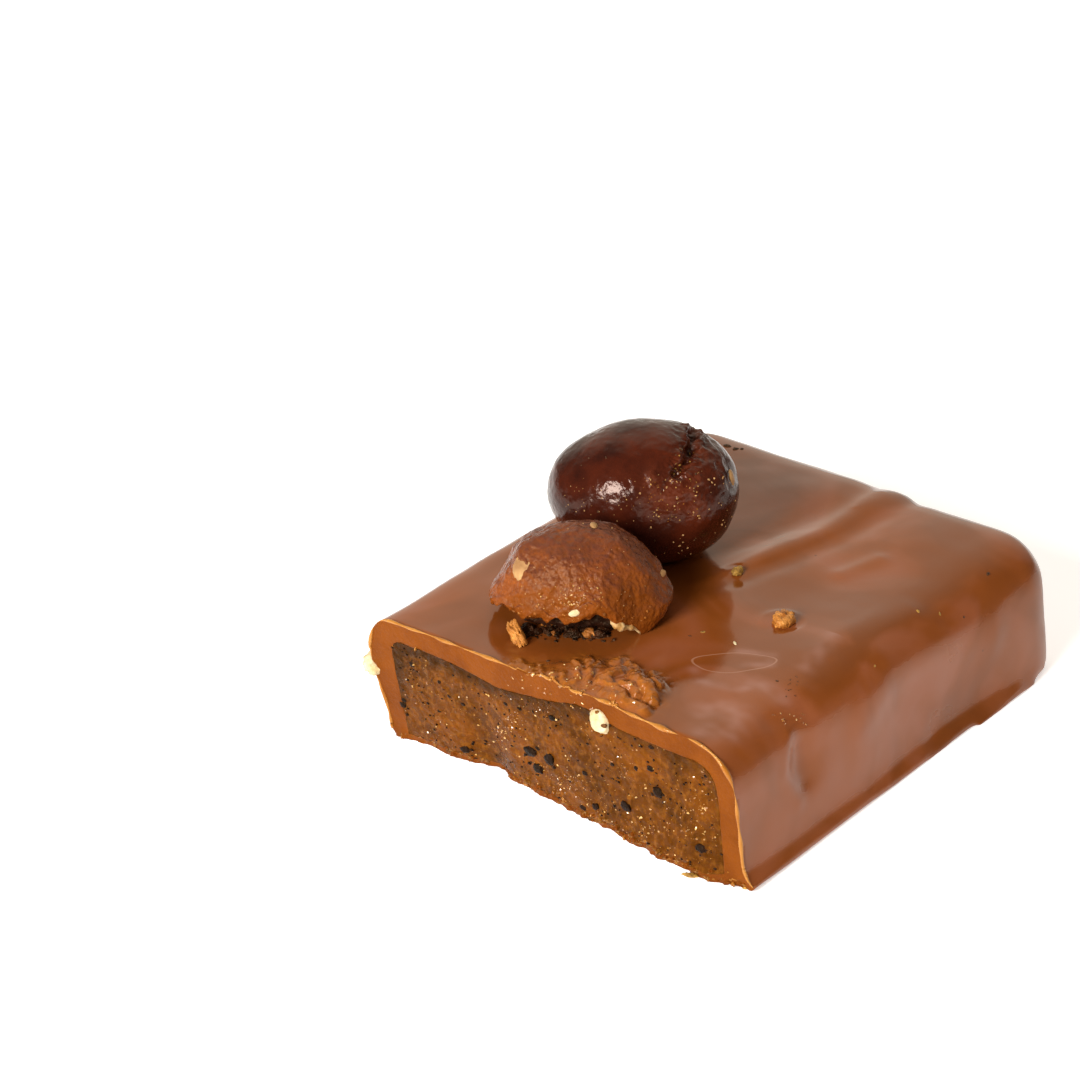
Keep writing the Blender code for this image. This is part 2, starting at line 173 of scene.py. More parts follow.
def remesh(piece, voxel, smoothing):
    modify(piece, "REMESH", mode="VOXEL", voxel_size=voxel * mm)
    modify(piece, "SMOOTH", factor=0.5, iterations=smoothing)
    modify(piece, "SUBSURF", levels=1, render_levels=1)


def fatten(piece, amount):
    editAll(piece)
    bpy.ops.transform.shrink_fatten(value=amount * mm)
    leaveEdit()


def sculpt(piece, move):
    # move takes a point in bar millimetres and its normal, and gives the new point
    moved = [cutFoot + Vector(move(inBar(vertex.co), vertex.normal)) * mm for vertex in piece.data.vertices]
    for vertex, place in zip(piece.data.vertices, moved):
        vertex.co = place
    piece.data.update()


def smooth(piece, angle=None):
    pick(piece)
    if angle is None:
        bpy.ops.object.shade_smooth()
    else:
        bpy.ops.object.shade_smooth_by_angle(angle=math.radians(angle))


def paint(piece, name, share):
    # keeps a share at each point of the mesh, for the piece's material
    layer = piece.data.attributes.new(name, "FLOAT", "POINT")
    for vertex in piece.data.vertices:
        layer.data[vertex.index].value = share(inBar(vertex.co))


def cover(piece, *materials):
    piece.data.materials.clear()
    for material in materials:
        piece.data.materials.append(material)


def settle(piece, slotName, *nodeNames):
    # a finished piece: its place goes into its mesh, and it rides on the bar
    pick(piece)
    bpy.ops.object.transform_apply(location=True, rotation=True, scale=True)
    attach(piece, "root")
    if nodeNames:
        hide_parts(*nodeNames)
    print("made", piece.name, len(piece.data.polygons), "faces")
    return piece


def discard(*pieces):
    for piece in pieces:
        bpy.data.objects.remove(piece, do_unlink=True)


def joinAll(pieces, name):
    pick(*pieces)
    bpy.ops.object.join()
    pieces[0].name = name
    return pieces[0]


def surfaceOf(*pieces):
    corners, faces = [], []
    for piece in pieces:
        start = len(corners)
        corners += [vertex.co.copy() for vertex in piece.data.vertices]
        faces += [[start + index for index in face.vertices] for face in piece.data.polygons]
    return BVHTree.FromPolygons(corners, faces)


# Materials

def colour(text):
    parts = [int(text[start:start + 2], 16) / 255.0 for start in (1, 3, 5)]
    return (*[part / 12.92 if part <= 0.04045 else ((part + 0.055) / 1.055) ** 2.4 for part in parts], 1.0)


def addNode(tree, kind, links=None, values=None, **settings):
    node = tree.nodes.new(kind)
    for setting, value in settings.items():
        setattr(node, setting, value)
    for socket, value in (values or {}).items():
        node.inputs[socket].default_value = value
    for socket, source in (links or {}).items():
        tree.links.new(source, node.inputs[socket])
    return node


def newFinish(name):
    material = bpy.data.materials.new(name)
    material.use_nodes = True
    material.node_tree.nodes.clear()
    tree = material.node_tree
    return material, tree, addNode(tree, "ShaderNodeTexCoord").outputs["Object"]


def cloudy(tree, place, size, detail=4.0, distortion=0.0):
    # soft patches of a size in millimetres
    cloud = addNode(tree, "ShaderNodeTexNoise", {"Vector": place},
                    {"Scale": 1 / (size * mm), "Detail": detail, "Distortion": distortion})
    return cloud.outputs["Fac"]


def stretch(tree, value, low, high, toLow=0.0, toHigh=1.0):
    return addNode(tree, "ShaderNodeMapRange", {"Value": value},
                   {"From Min": low, "From Max": high, "To Min": toLow, "To Max": toHigh}).outputs[0]


def reckon(tree, operation, first, second):
    return addNode(tree, "ShaderNodeMath", {0: first, 1: second}, operation=operation).outputs[0]


def blend(tree, share, first, second):
    # each colour is hex text or another node's output
    mix = addNode(tree, "ShaderNodeMix", {"Factor": share}, data_type="RGBA")
    for socket, tint in ((6, first), (7, second)):
        if isinstance(tint, str):
            mix.inputs[socket].default_value = colour(tint)
        else:
            tree.links.new(tint, mix.inputs[socket])
    return mix.outputs[2]


def bumped(tree, height, strength, depth, under=None):
    # depth in millimetres; under is the normal that the bump lies on
    links = {"Height": height}
    if under is not None:
        links["Normal"] = under
    return addNode(tree, "ShaderNodeBump", links, {"Strength": strength, "Distance": depth * mm}).outputs[0]


def painted(tree, name):
    # the share that a piece's own attribute holds
    return addNode(tree, "ShaderNodeAttribute", attribute_name=name).outputs["Fac"]


def upward(tree):
    # 1 on level ground, 0 on a wall
    shape = addNode(tree, "ShaderNodeNewGeometry")
    return addNode(tree, "ShaderNodeSeparateXYZ", {"Vector": shape.outputs["Normal"]}).outputs["Z"]


def finish(tree, links, values):
    shader = addNode(tree, "ShaderNodeBsdfPrincipled", links, values)
    addNode(tree, "ShaderNodeOutputMaterial", {"Surface": shader.outputs[0]})


def bubbleRing(tree, place):
    # the thin pale ring that a burst bubble left, shaken a little out of true
    ring = coat["ring"]
    inside = addNode(tree, "ShaderNodeMapping", {"Vector": place}, vector_type="TEXTURE")
    inside.inputs["Location"].default_value = at(*ring["middle"])
    inside.inputs["Rotation"].default_value = (0.0, 0.0, math.radians(ring["turn"]))
    inside.inputs["Scale"].default_value = Vector(ring["size"]) * mm
    shake = addNode(tree, "ShaderNodeTexNoise", {"Vector": inside.outputs[0]}, {"Scale": 0.8, "Detail": 0.0})
    bent = addNode(tree, "ShaderNodeMix", {4: inside.outputs[0], 5: shake.outputs["Color"]},
                   {"Factor": ring["shake"]}, data_type="VECTOR")
    # noise averages a half, so the ring's middle moves by half of the share that is mixed in
    middle = Vector((0.5, 0.5, 0.5)) * ring["shake"]
    away = addNode(tree, "ShaderNodeVectorMath", {0: bent.outputs[1]}, {1: middle}, operation="DISTANCE")
    line = addNode(tree, "ShaderNodeMath", {0: away.outputs["Value"]}, {1: 0.65}, operation="SUBTRACT")
    width = addNode(tree, "ShaderNodeMath", {0: line.outputs[0]}, operation="ABSOLUTE")
    return stretch(tree, width.outputs[0], 0.008, 0.026, 0.32, 0.0)


def milkChocolateSkin():
    # milk chocolate poured and set: glossy, with soft flow marks, a pinkish bloom and a few pinholes, whose
    # hollows are painted shade
    material, tree, place = newFinish("milkChocolateSkin")
    base = blend(tree, stretch(tree, cloudy(tree, place, 9.0, 2.0, 1.2), 0.4, 0.62), "#743B13", "#83441B")
    # bloom lies in thin curling veils
    veil = stretch(tree, cloudy(tree, place, 9.0, 2.0, 1.6), 0.5, 0.66, 0.0, 0.15)
    bloomed = blend(tree, veil, base, "#A2695A")
    # a pinhole about every 5 mm, drawn only as a dark dot: painted shade of its hollow
    cells = addNode(tree, "ShaderNodeTexVoronoi", {"Vector": place}, {"Scale": 1 / (4.6 * mm)})
    pinholeShade = stretch(tree, cells.outputs["Distance"], 0.018, 0.034, 1.0, 0.0)
    pinholeShaded = blend(tree, pinholeShade, bloomed, "#4E2815")
    ringed = blend(tree, bubbleRing(tree, place), pinholeShaded, "#C79A80")
    # lilac veils where the coat ran together, and the golden crackled patch
    lilac = blend(tree, painted(tree, "veiled"), ringed, "#A07466")
    crackled = painted(tree, "crackled")
    golden = blend(tree, crackled, lilac, "#96561A")
    # the walls set against the air and are duller than the top
    gloss = stretch(tree, cloudy(tree, place, 3.5), 0.3, 0.7, 0.07, 0.15)
    rough = reckon(tree, "ADD", gloss, stretch(tree, upward(tree), 0.25, 0.9, 0.2, 0.0))
    # orange peel of about a millimetre, and grit of 0.4 mm in the crackled patch
    peel = bumped(tree, cloudy(tree, place, 1.1, 3.0), 0.05, 0.1)
    grit = reckon(tree, "MULTIPLY", cloudy(tree, place, 0.42, 3.0), crackled)
    finish(tree, {"Base Color": golden, "Roughness": rough, "Normal": bumped(tree, grit, 0.7, 0.2, peel)},
           {"IOR": 1.47, "Specular IOR Level": 0.42, "Specular Tint": colour("#FFE6D0")})
    return material


def plainFinish(name, first, second, rough, patch=3.0, grain=0.5, relief=0.4, depth=0.2, gloss=0.5):
    # two blended colours over grit; patch, grain and depth are in millimetres
    material, tree, place = newFinish(name)
    base = blend(tree, stretch(tree, cloudy(tree, place, patch, 5.0), 0.35, 0.65), first, second)
    finish(tree, {"Base Color": base, "Normal": bumped(tree, cloudy(tree, place, grain), relief, depth)},
           {"Roughness": rough, "IOR": 1.47, "Specular IOR Level": gloss, "Specular Tint": colour("#FFDCAE")})
    return material


# Camera, light and floor

# angles in degrees, places and lengths in millimetres, the picture's width in pixels
camera = {"lens": 120.0, "sensor": 36.0, "azimuth": 38.066, "elevation": 28.179, "distance": 276.81,
          "aim": (-9.294, 29.529, 0.0), "near": 10.0, "picture": 1080}


def towards(turn, rise):
    # the way to a lamp or a camera that is turned from the front and raised, in degrees
    turn, rise = math.radians(turn), math.radians(rise)
    return Vector((math.sin(turn) * math.cos(rise), -math.cos(turn) * math.cos(rise), math.sin(rise)))


def makeCamera():
    back = towards(camera["azimuth"], camera["elevation"])
    bpy.ops.object.camera_add(location=at(*camera["aim"]) + back * camera["distance"] * mm)
    eye = bpy.context.object
    eye.rotation_euler = back.to_track_quat("Z", "Y").to_euler()
    eye.data.lens = camera["lens"]
    eye.data.sensor_width = camera["sensor"]
    eye.data.clip_start = camera["near"] * mm
    bpy.context.scene.camera = eye
    bpy.context.view_layer.update()


def pixelRay(across, down):
    # the start and the way of the line through a pixel
    eye = bpy.context.scene.camera
    middle = camera["picture"] / 2
    half = camera["sensor"] / 2 / camera["lens"]
    ray = Vector(((across - middle) / middle * half, (middle - down) / middle * half, -1.0))
    return eye.matrix_world.translation, eye.matrix_world.to_3x3() @ ray.normalized()


def seen(surface, across, down):
    # the place and slope where a pixel meets a surface, or None for both
    place, slope, face, reach = surface.ray_cast(*pixelRay(across, down))
    return place, slope


def seenInBar(surface, pixels):
    # the places where pixels meet a surface, in bar millimetres; a pixel that misses it is left out
    places = [seen(surface, *pixel)[0] for pixel in pixels]
    return [inBar(place) for place in places if place is not None]


def onTable(across, down):
    # where a pixel meets the table
    start, ray = pixelRay(across, down)
    return start - ray * (start.z / ray.z)


# lengths in millimetres, angles in degrees
light = {
    # the walls: soft grey all round, brightening to white behind the bar
    "wall": 0.15, "glow": 1.14, "behind": (-0.52, 0.66, 0.54), "spread": (0.4, 0.96),
    "wallTint": (1.0, 0.9, 0.76, 1.0), "aim": (15.0, 10.0, 6.0),
    "key": {"turn": 0.0, "rise": 26.0, "distance": 300.0, "size": (130.0, 110.0), "glow": 35.0},
    "side": {"turn": 80.0, "rise": 9.0, "distance": 400.0, "size": (260.0, 100.0), "glow": 4.6,
             "tint": (1.0, 0.9, 0.79)},
    "top": {"turn": -20.0, "rise": 78.0, "distance": 380.0, "size": (420.0, 420.0), "glow": 0.2},
    "table": "#F2F0EC", "tableGlow": 0.5, "tableWidth": 6000.0,
}


def makeSoftbox(name, turn, rise, distance, size, glow, tint=(1.0, 1.0, 1.0)):
    away = towards(turn, rise)
    bpy.ops.object.light_add(type="AREA", location=at(*light["aim"]) + away * distance * mm)
    box = bpy.context.object
    box.name = name
    box.rotation_euler = away.to_track_quat("Z", "Y").to_euler()
    box.data.shape = "RECTANGLE"
    box.data.size = size[0] * mm
    box.data.size_y = size[1] * mm
    box.data.energy = glow * math.pi * box.data.size * box.data.size_y
    box.data.color = tint
    box.visible_camera = False
    return box


def lightTable():
    # opal acrylic over lamps: an even white that glows a little
    material, tree, place = newFinish("opalAcrylicTable")
    finish(tree, {"Base Color": blend(tree, cloudy(tree, place, 60.0, 2.0), light["table"], "#FFFFFF")},
           {"Roughness": 0.7, "Emission Color": colour("#FFFFFF"), "Emission Strength": light["tableGlow"]})
    return material


def makeStudio():
    world = bpy.data.worlds.new("whiteStudio")
    world.use_nodes = True
    tree = world.node_tree
    sky = tree.nodes["Background"]
    sky.inputs["Color"].default_value = light["wallTint"]
    way = addNode(tree, "ShaderNodeTexCoord")
    toward = addNode(tree, "ShaderNodeVectorMath", {0: way.outputs["Generated"]}, operation="DOT_PRODUCT")
    toward.inputs[1].default_value = Vector(light["behind"]).normalized()
    strength = addNode(tree, "ShaderNodeMapRange", {"Value": toward.outputs["Value"]},
                       {"From Min": light["spread"][0], "From Max": light["spread"][1],
                        "To Min": light["wall"], "To Max": light["glow"]}, interpolation_type="SMOOTHSTEP")
    tree.links.new(strength.outputs[0], sky.inputs["Strength"])
    bpy.context.scene.world = world
    bpy.context.scene.view_settings.view_transform = "Standard"
    makeSoftbox("keySoftbox", **light["key"])
    # the fills only soften the shadows: they leave no shape in the gloss
    makeSoftbox("sideSoftbox", **light["side"]).visible_glossy = False
    makeSoftbox("topSoftbox", **light["top"]).visible_glossy = False
    bpy.ops.mesh.primitive_plane_add(size=light["tableWidth"] * mm, location=(0.0, 0.0, 0.0))
    floor = bpy.context.object
    floor.name = "lightTable"
    cover(floor, lightTable())


makeCamera()
makeStudio()
print("camera, light and floor are set")

# The cut through the bar

# the foot swings from behind the cut's plane to before it; each grain is a depth and a size
cut = {
    "lean": 0.08, "footBack": 0.78, "footFront": -1.02, "footTurn": (12.5, 27.0), "footHook": 0.65,
    "chipX": 8.9, "chipReach": 1.5, "chipDepth": 0.95, "height": 10.1, "width": 31.1,
    "ragged": 0.5, "raggedHeight": 0.9, "raggedBias": 0.15,
    "knifeWide": 38.0, "knifeHigh": 16.0, "knifeThick": 8.0, "knifeCorner": (-3.5, -2.0),
    "inside": (0.8, 30.4), "insideHigh": (0.3, 9.3),
    "coatStep": 0.16, "coatGrain": ((0.03, 0.9), (0.012, 0.3)),
    "toffeeStep": 0.12, "toffeeGrain": ((0.07, 1.4), (0.07, 0.55), (0.035, 0.25)),
}


def cutLine(x, z):
    foot = cut["footBack"] + (cut["footFront"] - cut["footBack"]) * ramp(x, *cut["footTurn"])
    foot += cut["footHook"] * ramp(x, cut["footTurn"][1], cut["width"])
    foot += cut["chipDepth"] * bell(x - cut["chipX"], cut["chipReach"])
    crumbled = (0.7 * wobble((x, 0.0, 0.0), 2.1, 3) + 0.45 * wobble((x, 0.0, 0.0), 0.9, 4)
                + 0.4 * wobble((x, 0.0, z), 0.33, 5))
    ragged = cut["ragged"] * (crumbled + cut["raggedBias"]) * (1.0 - ramp(z, 0.0, cut["raggedHeight"]))
    return foot * (1.0 - ramp(z, 0.0, cut["height"])) ** 1.5 - cut["lean"] * z + ragged


def makeKnife(name, step, grain):
    # a slab in front of the bar whose back is the cut with its grain
    wide, high = cut["knifeWide"], cut["knifeHigh"]
    deselect()
    bpy.ops.mesh.primitive_grid_add(x_subdivisions=int(wide / step), y_subdivisions=int(high / step),
                                    size=1.0)
    knife = bpy.context.object
    knife.name = name
    for vertex in knife.data.vertices:
        x = (vertex.co.x + 0.5) * wide + cut["knifeCorner"][0]
        z = (vertex.co.y + 0.5) * high + cut["knifeCorner"][1]
        y = cutLine(x, z)
        for depth, size in grain:
            y += depth * wobble((x, 0.0, z), size, 1 + size)
        vertex.co = at(x, y, z)
    editAll(knife)
    bpy.ops.mesh.extrude_region_move(TRANSFORM_OT_translate={"value": (0.0, -cut["knifeThick"] * mm, 0.0)})
    bpy.ops.mesh.select_all(action="SELECT")
    bpy.ops.mesh.normals_make_consistent(inside=False)
    leaveEdit()
    return knife


# The chocolate coat, hollow round the toffee

coat = {
    "grow": 0.27, "overlap": 0.12, "voxel": 0.35, "smoothing": 7, "swell": 0.05,
    # the front is moved past the cut before the knife takes it away
    "frontPull": 3.5, "pullBand": 0.4, "frontPush": 1.8, "pushFades": (0.5, 1.4),
    "waves": ((0.16, 8.0), (0.05, 4.0), (0.02, 2.0)),
    # crumbs of the solid that are pressed flat: place and reach
    "crumbs": ((22.6, 15.6, 1.75), (16.1, 19.3, 0.95)), "wallCrumb": (0.15, 5.4, 1.7),
    # how far from the cut the left wall's own bulge is read
    "wallStrip": (2.6, 3.2),
    # the long ripple beyond the beans, with a hollow along its right side
    "crease": {"line": ((15.6, 18.4), (16.6, 22.0), (18.0, 28.0), (18.5, 36.0)),
               "height": 0.2, "reach": 0.75, "hollow": 0.12, "hollowAway": 1.4, "hollowReach": 0.9,
               "begins": (15.5, 19.0), "ends": (29.0, 35.0)},
    "ring": {"middle": (23.3, 8.9, 10.2), "turn": 38.1, "size": (2.7, 1.3, 20.0), "shake": 0.35},
    # swells and dents by their pixels, reach and height in millimetres
    "swells": ((((865, 719), (890, 672), (941, 647), (991, 637)), 1.5, 0.2),
               (((801, 683), (812, 655), (858, 630), (912, 612)), 1.1, 0.14),
               (((800, 750), (806, 778)), 1.15, -0.3), (((790, 735), (786, 775), (800, 800)), 0.7, 0.1),
               (((842, 575), (879, 560)), 0.8, 0.16), (((772, 722), (806, 716)), 0.9, -0.12)),
    # lilac veils: pixels, reach and strength
    "veils": ((((693, 668), (700, 682), (740, 690), (760, 684)), 0.45, 0.3),
              (((700, 712), (715, 705), (740, 712), (730, 735), (702, 730)), 0.8, 0.4),
              (((740, 651), (772, 655), (770, 664), (747, 665)), 0.4, 0.35),
              (((805, 668), (826, 644), (846, 622), (880, 600)), 0.55, 0.4),
              (((754, 683), (783, 701)), 0.6, 0.4)),
}

# the crackled patch by the cut's upper edge, and the ripples beside it
crackle = {
    "strokes": (
        # start and end pixel, half width and height in millimetres: first the cluster at the right end
        ((604, 678), (619, 695), 0.46, 0.3), ((609, 676), (633, 671), 0.4, 0.34),
        ((629, 667), (640, 683), 0.5, 0.36), ((622, 684), (634, 690), 0.42, 0.28),
        ((618, 698), (645, 711), 0.62, 0.34), ((645, 684), (652, 701), 0.5, 0.4),
        ((612, 664), (622, 660), 0.3, 0.2), ((652, 676), (657, 684), 0.36, 0.26),
        ((636, 695), (644, 690), 0.36, 0.32), ((594, 668), (600, 662), 0.26, 0.14),
        ((603, 690), (608, 697), 0.3, 0.2),
        # two bent ridges in the middle
        ((573, 661), (579, 671), 0.22, 0.2), ((579, 671), (574, 684), 0.24, 0.22),
        ((587, 658), (592, 670), 0.22, 0.22), ((592, 670), (587, 685), 0.26, 0.24),
        # small flakes along the edge
        ((513, 666), (523, 675), 0.24, 0.16), ((522, 664), (531, 677), 0.28, 0.2),
        ((530, 667), (541, 682), 0.26, 0.18), ((540, 668), (546, 683), 0.24, 0.2),
        ((552, 672), (556, 687), 0.26, 0.14), ((562, 675), (569, 689), 0.28, 0.16),
        ((596, 689), (600, 676), 0.24, 0.16)),
    "tall": 0.95, "spread": 0.75, "farthest": 3.0, "shake": 0.34, "shakeSize": 0.7,
    # a stroke narrower than this colours the coat less
    "fullTint": 0.35,
    "ridge": 0.15, "ridgeSize": 0.75, "grit": 0.06, "gritSize": 0.35,
    # where the coat gets finer faces for it
    "fineWide": (8.5, 24.5), "fineDeep": 4.6, "fineAbove": 8.6,
}


def underCrackle(centre, normal):
    left, right = crackle["fineWide"]
    inReach = left < centre.x < right and centre.y < crackle["fineDeep"]
    return inReach and centre.z > crackle["fineAbove"] and normal.z > 0.2


def pullFront(point, normal):
    ahead = point.y - cutLine(point.x, point.z)
    return (point.x, point.y - (coat["frontPull"] if ahead < coat["pullBand"] else 0.0), point.z)


def pushFront(point, normal):
    ahead = point.y - cutLine(point.x, point.z)
    push = coat["frontPush"] * (1.0 - ramp(ahead, *coat["pushFades"]))
    return (point.x, point.y - push, point.z)


def crackleAt(x, y):
    # the height of the crackled patch and how much it colours the coat
    height, tint = 0.0, 0.0
    shake, size = crackle["shake"], crackle["shakeSize"]
    shaken = Vector((x + shake * wobble((x, y, 0.0), size, 5), y + shake * wobble((x, y, 4.0), size, 5), 0.0))
    for path, reach, rise in crackle["placed"]:
        away, along = lineDistance(shaken, path)
        if away < crackle["farthest"]:
            dome = math.sqrt(max(0.0, 1.0 - (away / reach) ** 2))
            height = max(height, crackle["tall"] * rise * dome)
            tint = max(tint, bell(away, crackle["spread"]) * min(1.0, reach / crackle["fullTint"]))
    return height, tint


def placeMarks(piece):
    # finds the marks that are given by their pixels, on the coat before it is roughened
    skin = surfaceOf(piece)
    crackle["placed"] = [(levelled(seenInBar(skin, (start, end))), reach, rise)
                         for start, end, reach, rise in crackle["strokes"]]
    coat["placed"] = [(seenInBar(skin, path), reach, rise) for path, reach, rise in coat["swells"]]
    coat["veiled"] = [(seenInBar(skin, path), reach, share) for path, reach, share in coat["veils"]]


def creaseDistance(x, y):
    # how far right of the crease a place on the top lies, by the crease's points
    points = coat["crease"]["line"]
    for (startX, startY), (endX, endY) in zip(points, points[1:]):
        if y <= endY:
            break
    return x - startX - (endX - startX) * (y - startY) / (endY - startY)


def creaseHeight(x, y):
    crease = coat["crease"]
    away = creaseDistance(x, y)
    ridge = crease["height"] * bell(away, crease["reach"]) * (1.0 - ramp(y, *crease["ends"]))
    hollow = crease["hollow"] * bell(away - crease["hollowAway"], crease["hollowReach"])
    return (ridge - hollow) * ramp(y, *crease["begins"])


def crackleRelief(x, y):
    # the crackled patch's own height, with ridges and grit on it
    height, tint = crackleAt(x, y)
    grit = crackle["grit"] * wobble((x, y, 0.0), crackle["gritSize"], 4)
    return height + tint ** 2 * (grit + crackle["ridge"] * crests((x, y, 0.0), crackle["ridgeSize"], 6))


def roughenCoat(point, normal):
    x, y, z = point
    off = sum(depth * wobble(point, size, 2 + size) for depth, size in coat["waves"])
    # the foot stays on the table
    off *= ramp(z, 0.2, 1.5)
    # both lie on the top: the crease beyond the beans, the crackled patch by the cut
    if normal.z > 0.6:
        off += creaseHeight(x, y)
    if normal.z > 0.4 and z > 8.0 and y < 6.0:
        off += crackleRelief(x, y)
    for path, reach, rise in coat["placed"]:
        off += rise * bell(lineDistance(point, path)[0], reach)
    moved = point + normal * off
    return Vector((moved.x, moved.y, max(0.0, moved.z)))


def flattenCrumbs(piece):
    # the little crumbs stand in pieces of their own, so the coat under them is level
    for middleX, middleY, reach in coat["crumbs"]:
        ring = [inBar(vertex.co).z for vertex in piece.data.vertices
                if vertex.normal.z > 0.5 and 0.0 < math.hypot(inBar(vertex.co).x - middleX,
                                                              inBar(vertex.co).y - middleY) - reach < 0.3]
        level = sum(ring) / len(ring)

        def press(point, normal):
            away = math.hypot(point.x - middleX, point.y - middleY)
            if point.z < 8.0 or away > reach:
                return point
            keep = ease(away, reach * 0.7, reach)
            return Vector((point.x, point.y, level + (point.z - level) * keep))

        sculpt(piece, press)


def flattenWallCrumb(piece):
    # the same for the crumb on the left wall, which keeps the wall's own bulge
    middleY, middleZ, reach = coat["wallCrumb"]
    near, far = coat["wallStrip"]
    wall = [(inBar(vertex.co).z, inBar(vertex.co).x) for vertex in piece.data.vertices
            if vertex.normal.x < -0.4 and near < inBar(vertex.co).y < far]

    def press(point, normal):
        away = math.hypot(point.y - middleY, point.z - middleZ)
        if point.x > 1.0 or away > reach or normal.x > -0.1:
            return point
        beside = [x for z, x in wall if abs(z - point.z) < 0.3]
        level = sum(beside) / len(beside)
        return Vector((max(point.x, level), point.y, point.z))

    sculpt(piece, press)


toffeeBlock = nodeCopy("toffee", "toffeeBlock")
fatten(toffeeBlock, coat["grow"])
toffeeWalls = copyOf(toffeeBlock, "toffeeWalls")
sculpt(toffeeWalls, pullFront)

chocolateCoat = nodeCopy("coating", "chocolateCoat")
filler = copyOf(toffeeBlock, "filler")
fatten(filler, coat["overlap"])
joinAll([chocolateCoat, filler], "chocolateCoat")
remesh(chocolateCoat, coat["voxel"], coat["smoothing"])
fatten(chocolateCoat, coat["swell"])
flattenCrumbs(chocolateCoat)
flattenWallCrumb(chocolateCoat)
sculpt(chocolateCoat, pushFront)
editFaces(chocolateCoat, underCrackle)
bpy.ops.mesh.subdivide(number_cuts=1)
leaveEdit()
placeMarks(chocolateCoat)
sculpt(chocolateCoat, roughenCoat)
coatKnife = makeKnife("coatKnife", cut["coatStep"], cut["coatGrain"])
carve(chocolateCoat, coatKnife)
carve(chocolateCoat, toffeeWalls)
smooth(chocolateCoat, 50.0)
print("the coat is cut and hollowed")


def crackledShare(where):
    # the patch lies on the top, by the cut
    if where.z < 8.0 or where.y > 6.0:
        return 0.0
    return crackleAt(where.x, where.y)[1] * (0.7 + 0.6 * wobble(where, 0.5, 7))


def veiledShare(where):
    # the veils lie on the right half, this side of the beans
    if where.z < 4.0 or where.x < 14.0 or where.y > 16.0:
        return 0.0
    near = max(share * bell(lineDistance(where, path)[0], reach) for path, reach, share in coat["veiled"])
    return max(0.0, near * (0.75 + 0.9 * wobble(where, 0.9, 27)))


paint(chocolateCoat, "crackled", crackledShare)
paint(chocolateCoat, "veiled", veiledShare)

# milk chocolate where the knife went through: matt, lighter, faintly dragged
cutMilkChocolate = plainFinish("cutMilkChocolate", "#653108", "#71390B", 0.5, 2.0, 0.3, 0.4, gloss=0.08)
cover(chocolateCoat, milkChocolateSkin(), cutMilkChocolate)
for face in chocolateCoat.data.polygons:
    centre = inBar(face.center)
    if face.normal.y < -0.3 and abs(centre.y - cutLine(centre.x, centre.z)) < 0.09:
        face.material_index = 1

# The burr that the knife drew out along the outer edge of the cut

burr = {"thick": 0.095, "vary": 1.8, "size": 1.6, "fromFloor": 0.5, "middle": (15.5, 4.6)}


def bareEdges(name, places, edges):
    mesh = bpy.data.meshes.new(name)
    mesh.from_pydata(places, edges, [])
    piece = bpy.data.objects.new(name, mesh)
    bpy.context.collection.objects.link(piece)
    return piece


def wireAlong(piece, thick, roundness, swell):
    # a closed round wire along bare edges; swell gives its share of the thickness at each point
    pick(piece)
    bpy.ops.object.convert(target="CURVE")
    piece.data.bevel_depth = thick * mm
    piece.data.bevel_resolution = roundness
    piece.data.use_fill_caps = True
    for spline in piece.data.splines:
        for index, point in enumerate(spline.points):
            point.radius = swell(inBar(Vector(point.co[:3])), index, len(spline.points))
    bpy.ops.object.convert(target="MESH")


def makeBurr():
    # the edges between the cut and the skin that face away from the middle of the cut
    mesh = bmesh.new()
    mesh.from_mesh(chocolateCoat.data)
    edges = []
    for edge in mesh.edges:
        if len(edge.link_faces) != 2:
            continue
        first, second = edge.link_faces
        if first.material_index == second.material_index:
            continue
        skin = first if first.material_index == 0 else second
        middle = inBar((edge.verts[0].co + edge.verts[1].co) / 2)
        x, z = burr["middle"]
        outward = Vector((middle.x - x, 0.0, middle.z - z)).dot(skin.normal)
        if outward > 0.0 and middle.z > burr["fromFloor"]:
            edges.append(edge)
    corners = dict.fromkeys(vertex for edge in edges for vertex in edge.verts)
    numbers = {vertex: number for number, vertex in enumerate(corners)}
    piece = bareEdges("cutBurr", [vertex.co.copy() for vertex in corners],
                      [[numbers[vertex] for vertex in edge.verts] for edge in edges])
    mesh.free()
    wireAlong(piece, burr["thick"], 2,
              lambda where, index, count: 1.0 + burr["vary"] * wobble(where, burr["size"], 4))
    return piece


cutBurr = makeBurr()
smooth(cutBurr)
# thin milk chocolate, glossy: its golden colour is partly its own lighter tone and partly painted glow and
# painted highlight along the cut's edge
cover(cutBurr, plainFinish("drawnChocolatePaintedGlow", "#94591C", "#A87030", 0.2, 1.5, 0.4, 0.3))
settle(cutBurr, "milk_chocolate")
settle(chocolateCoat, "milk_chocolate", "coating")


# The toffee with its own rougher cut

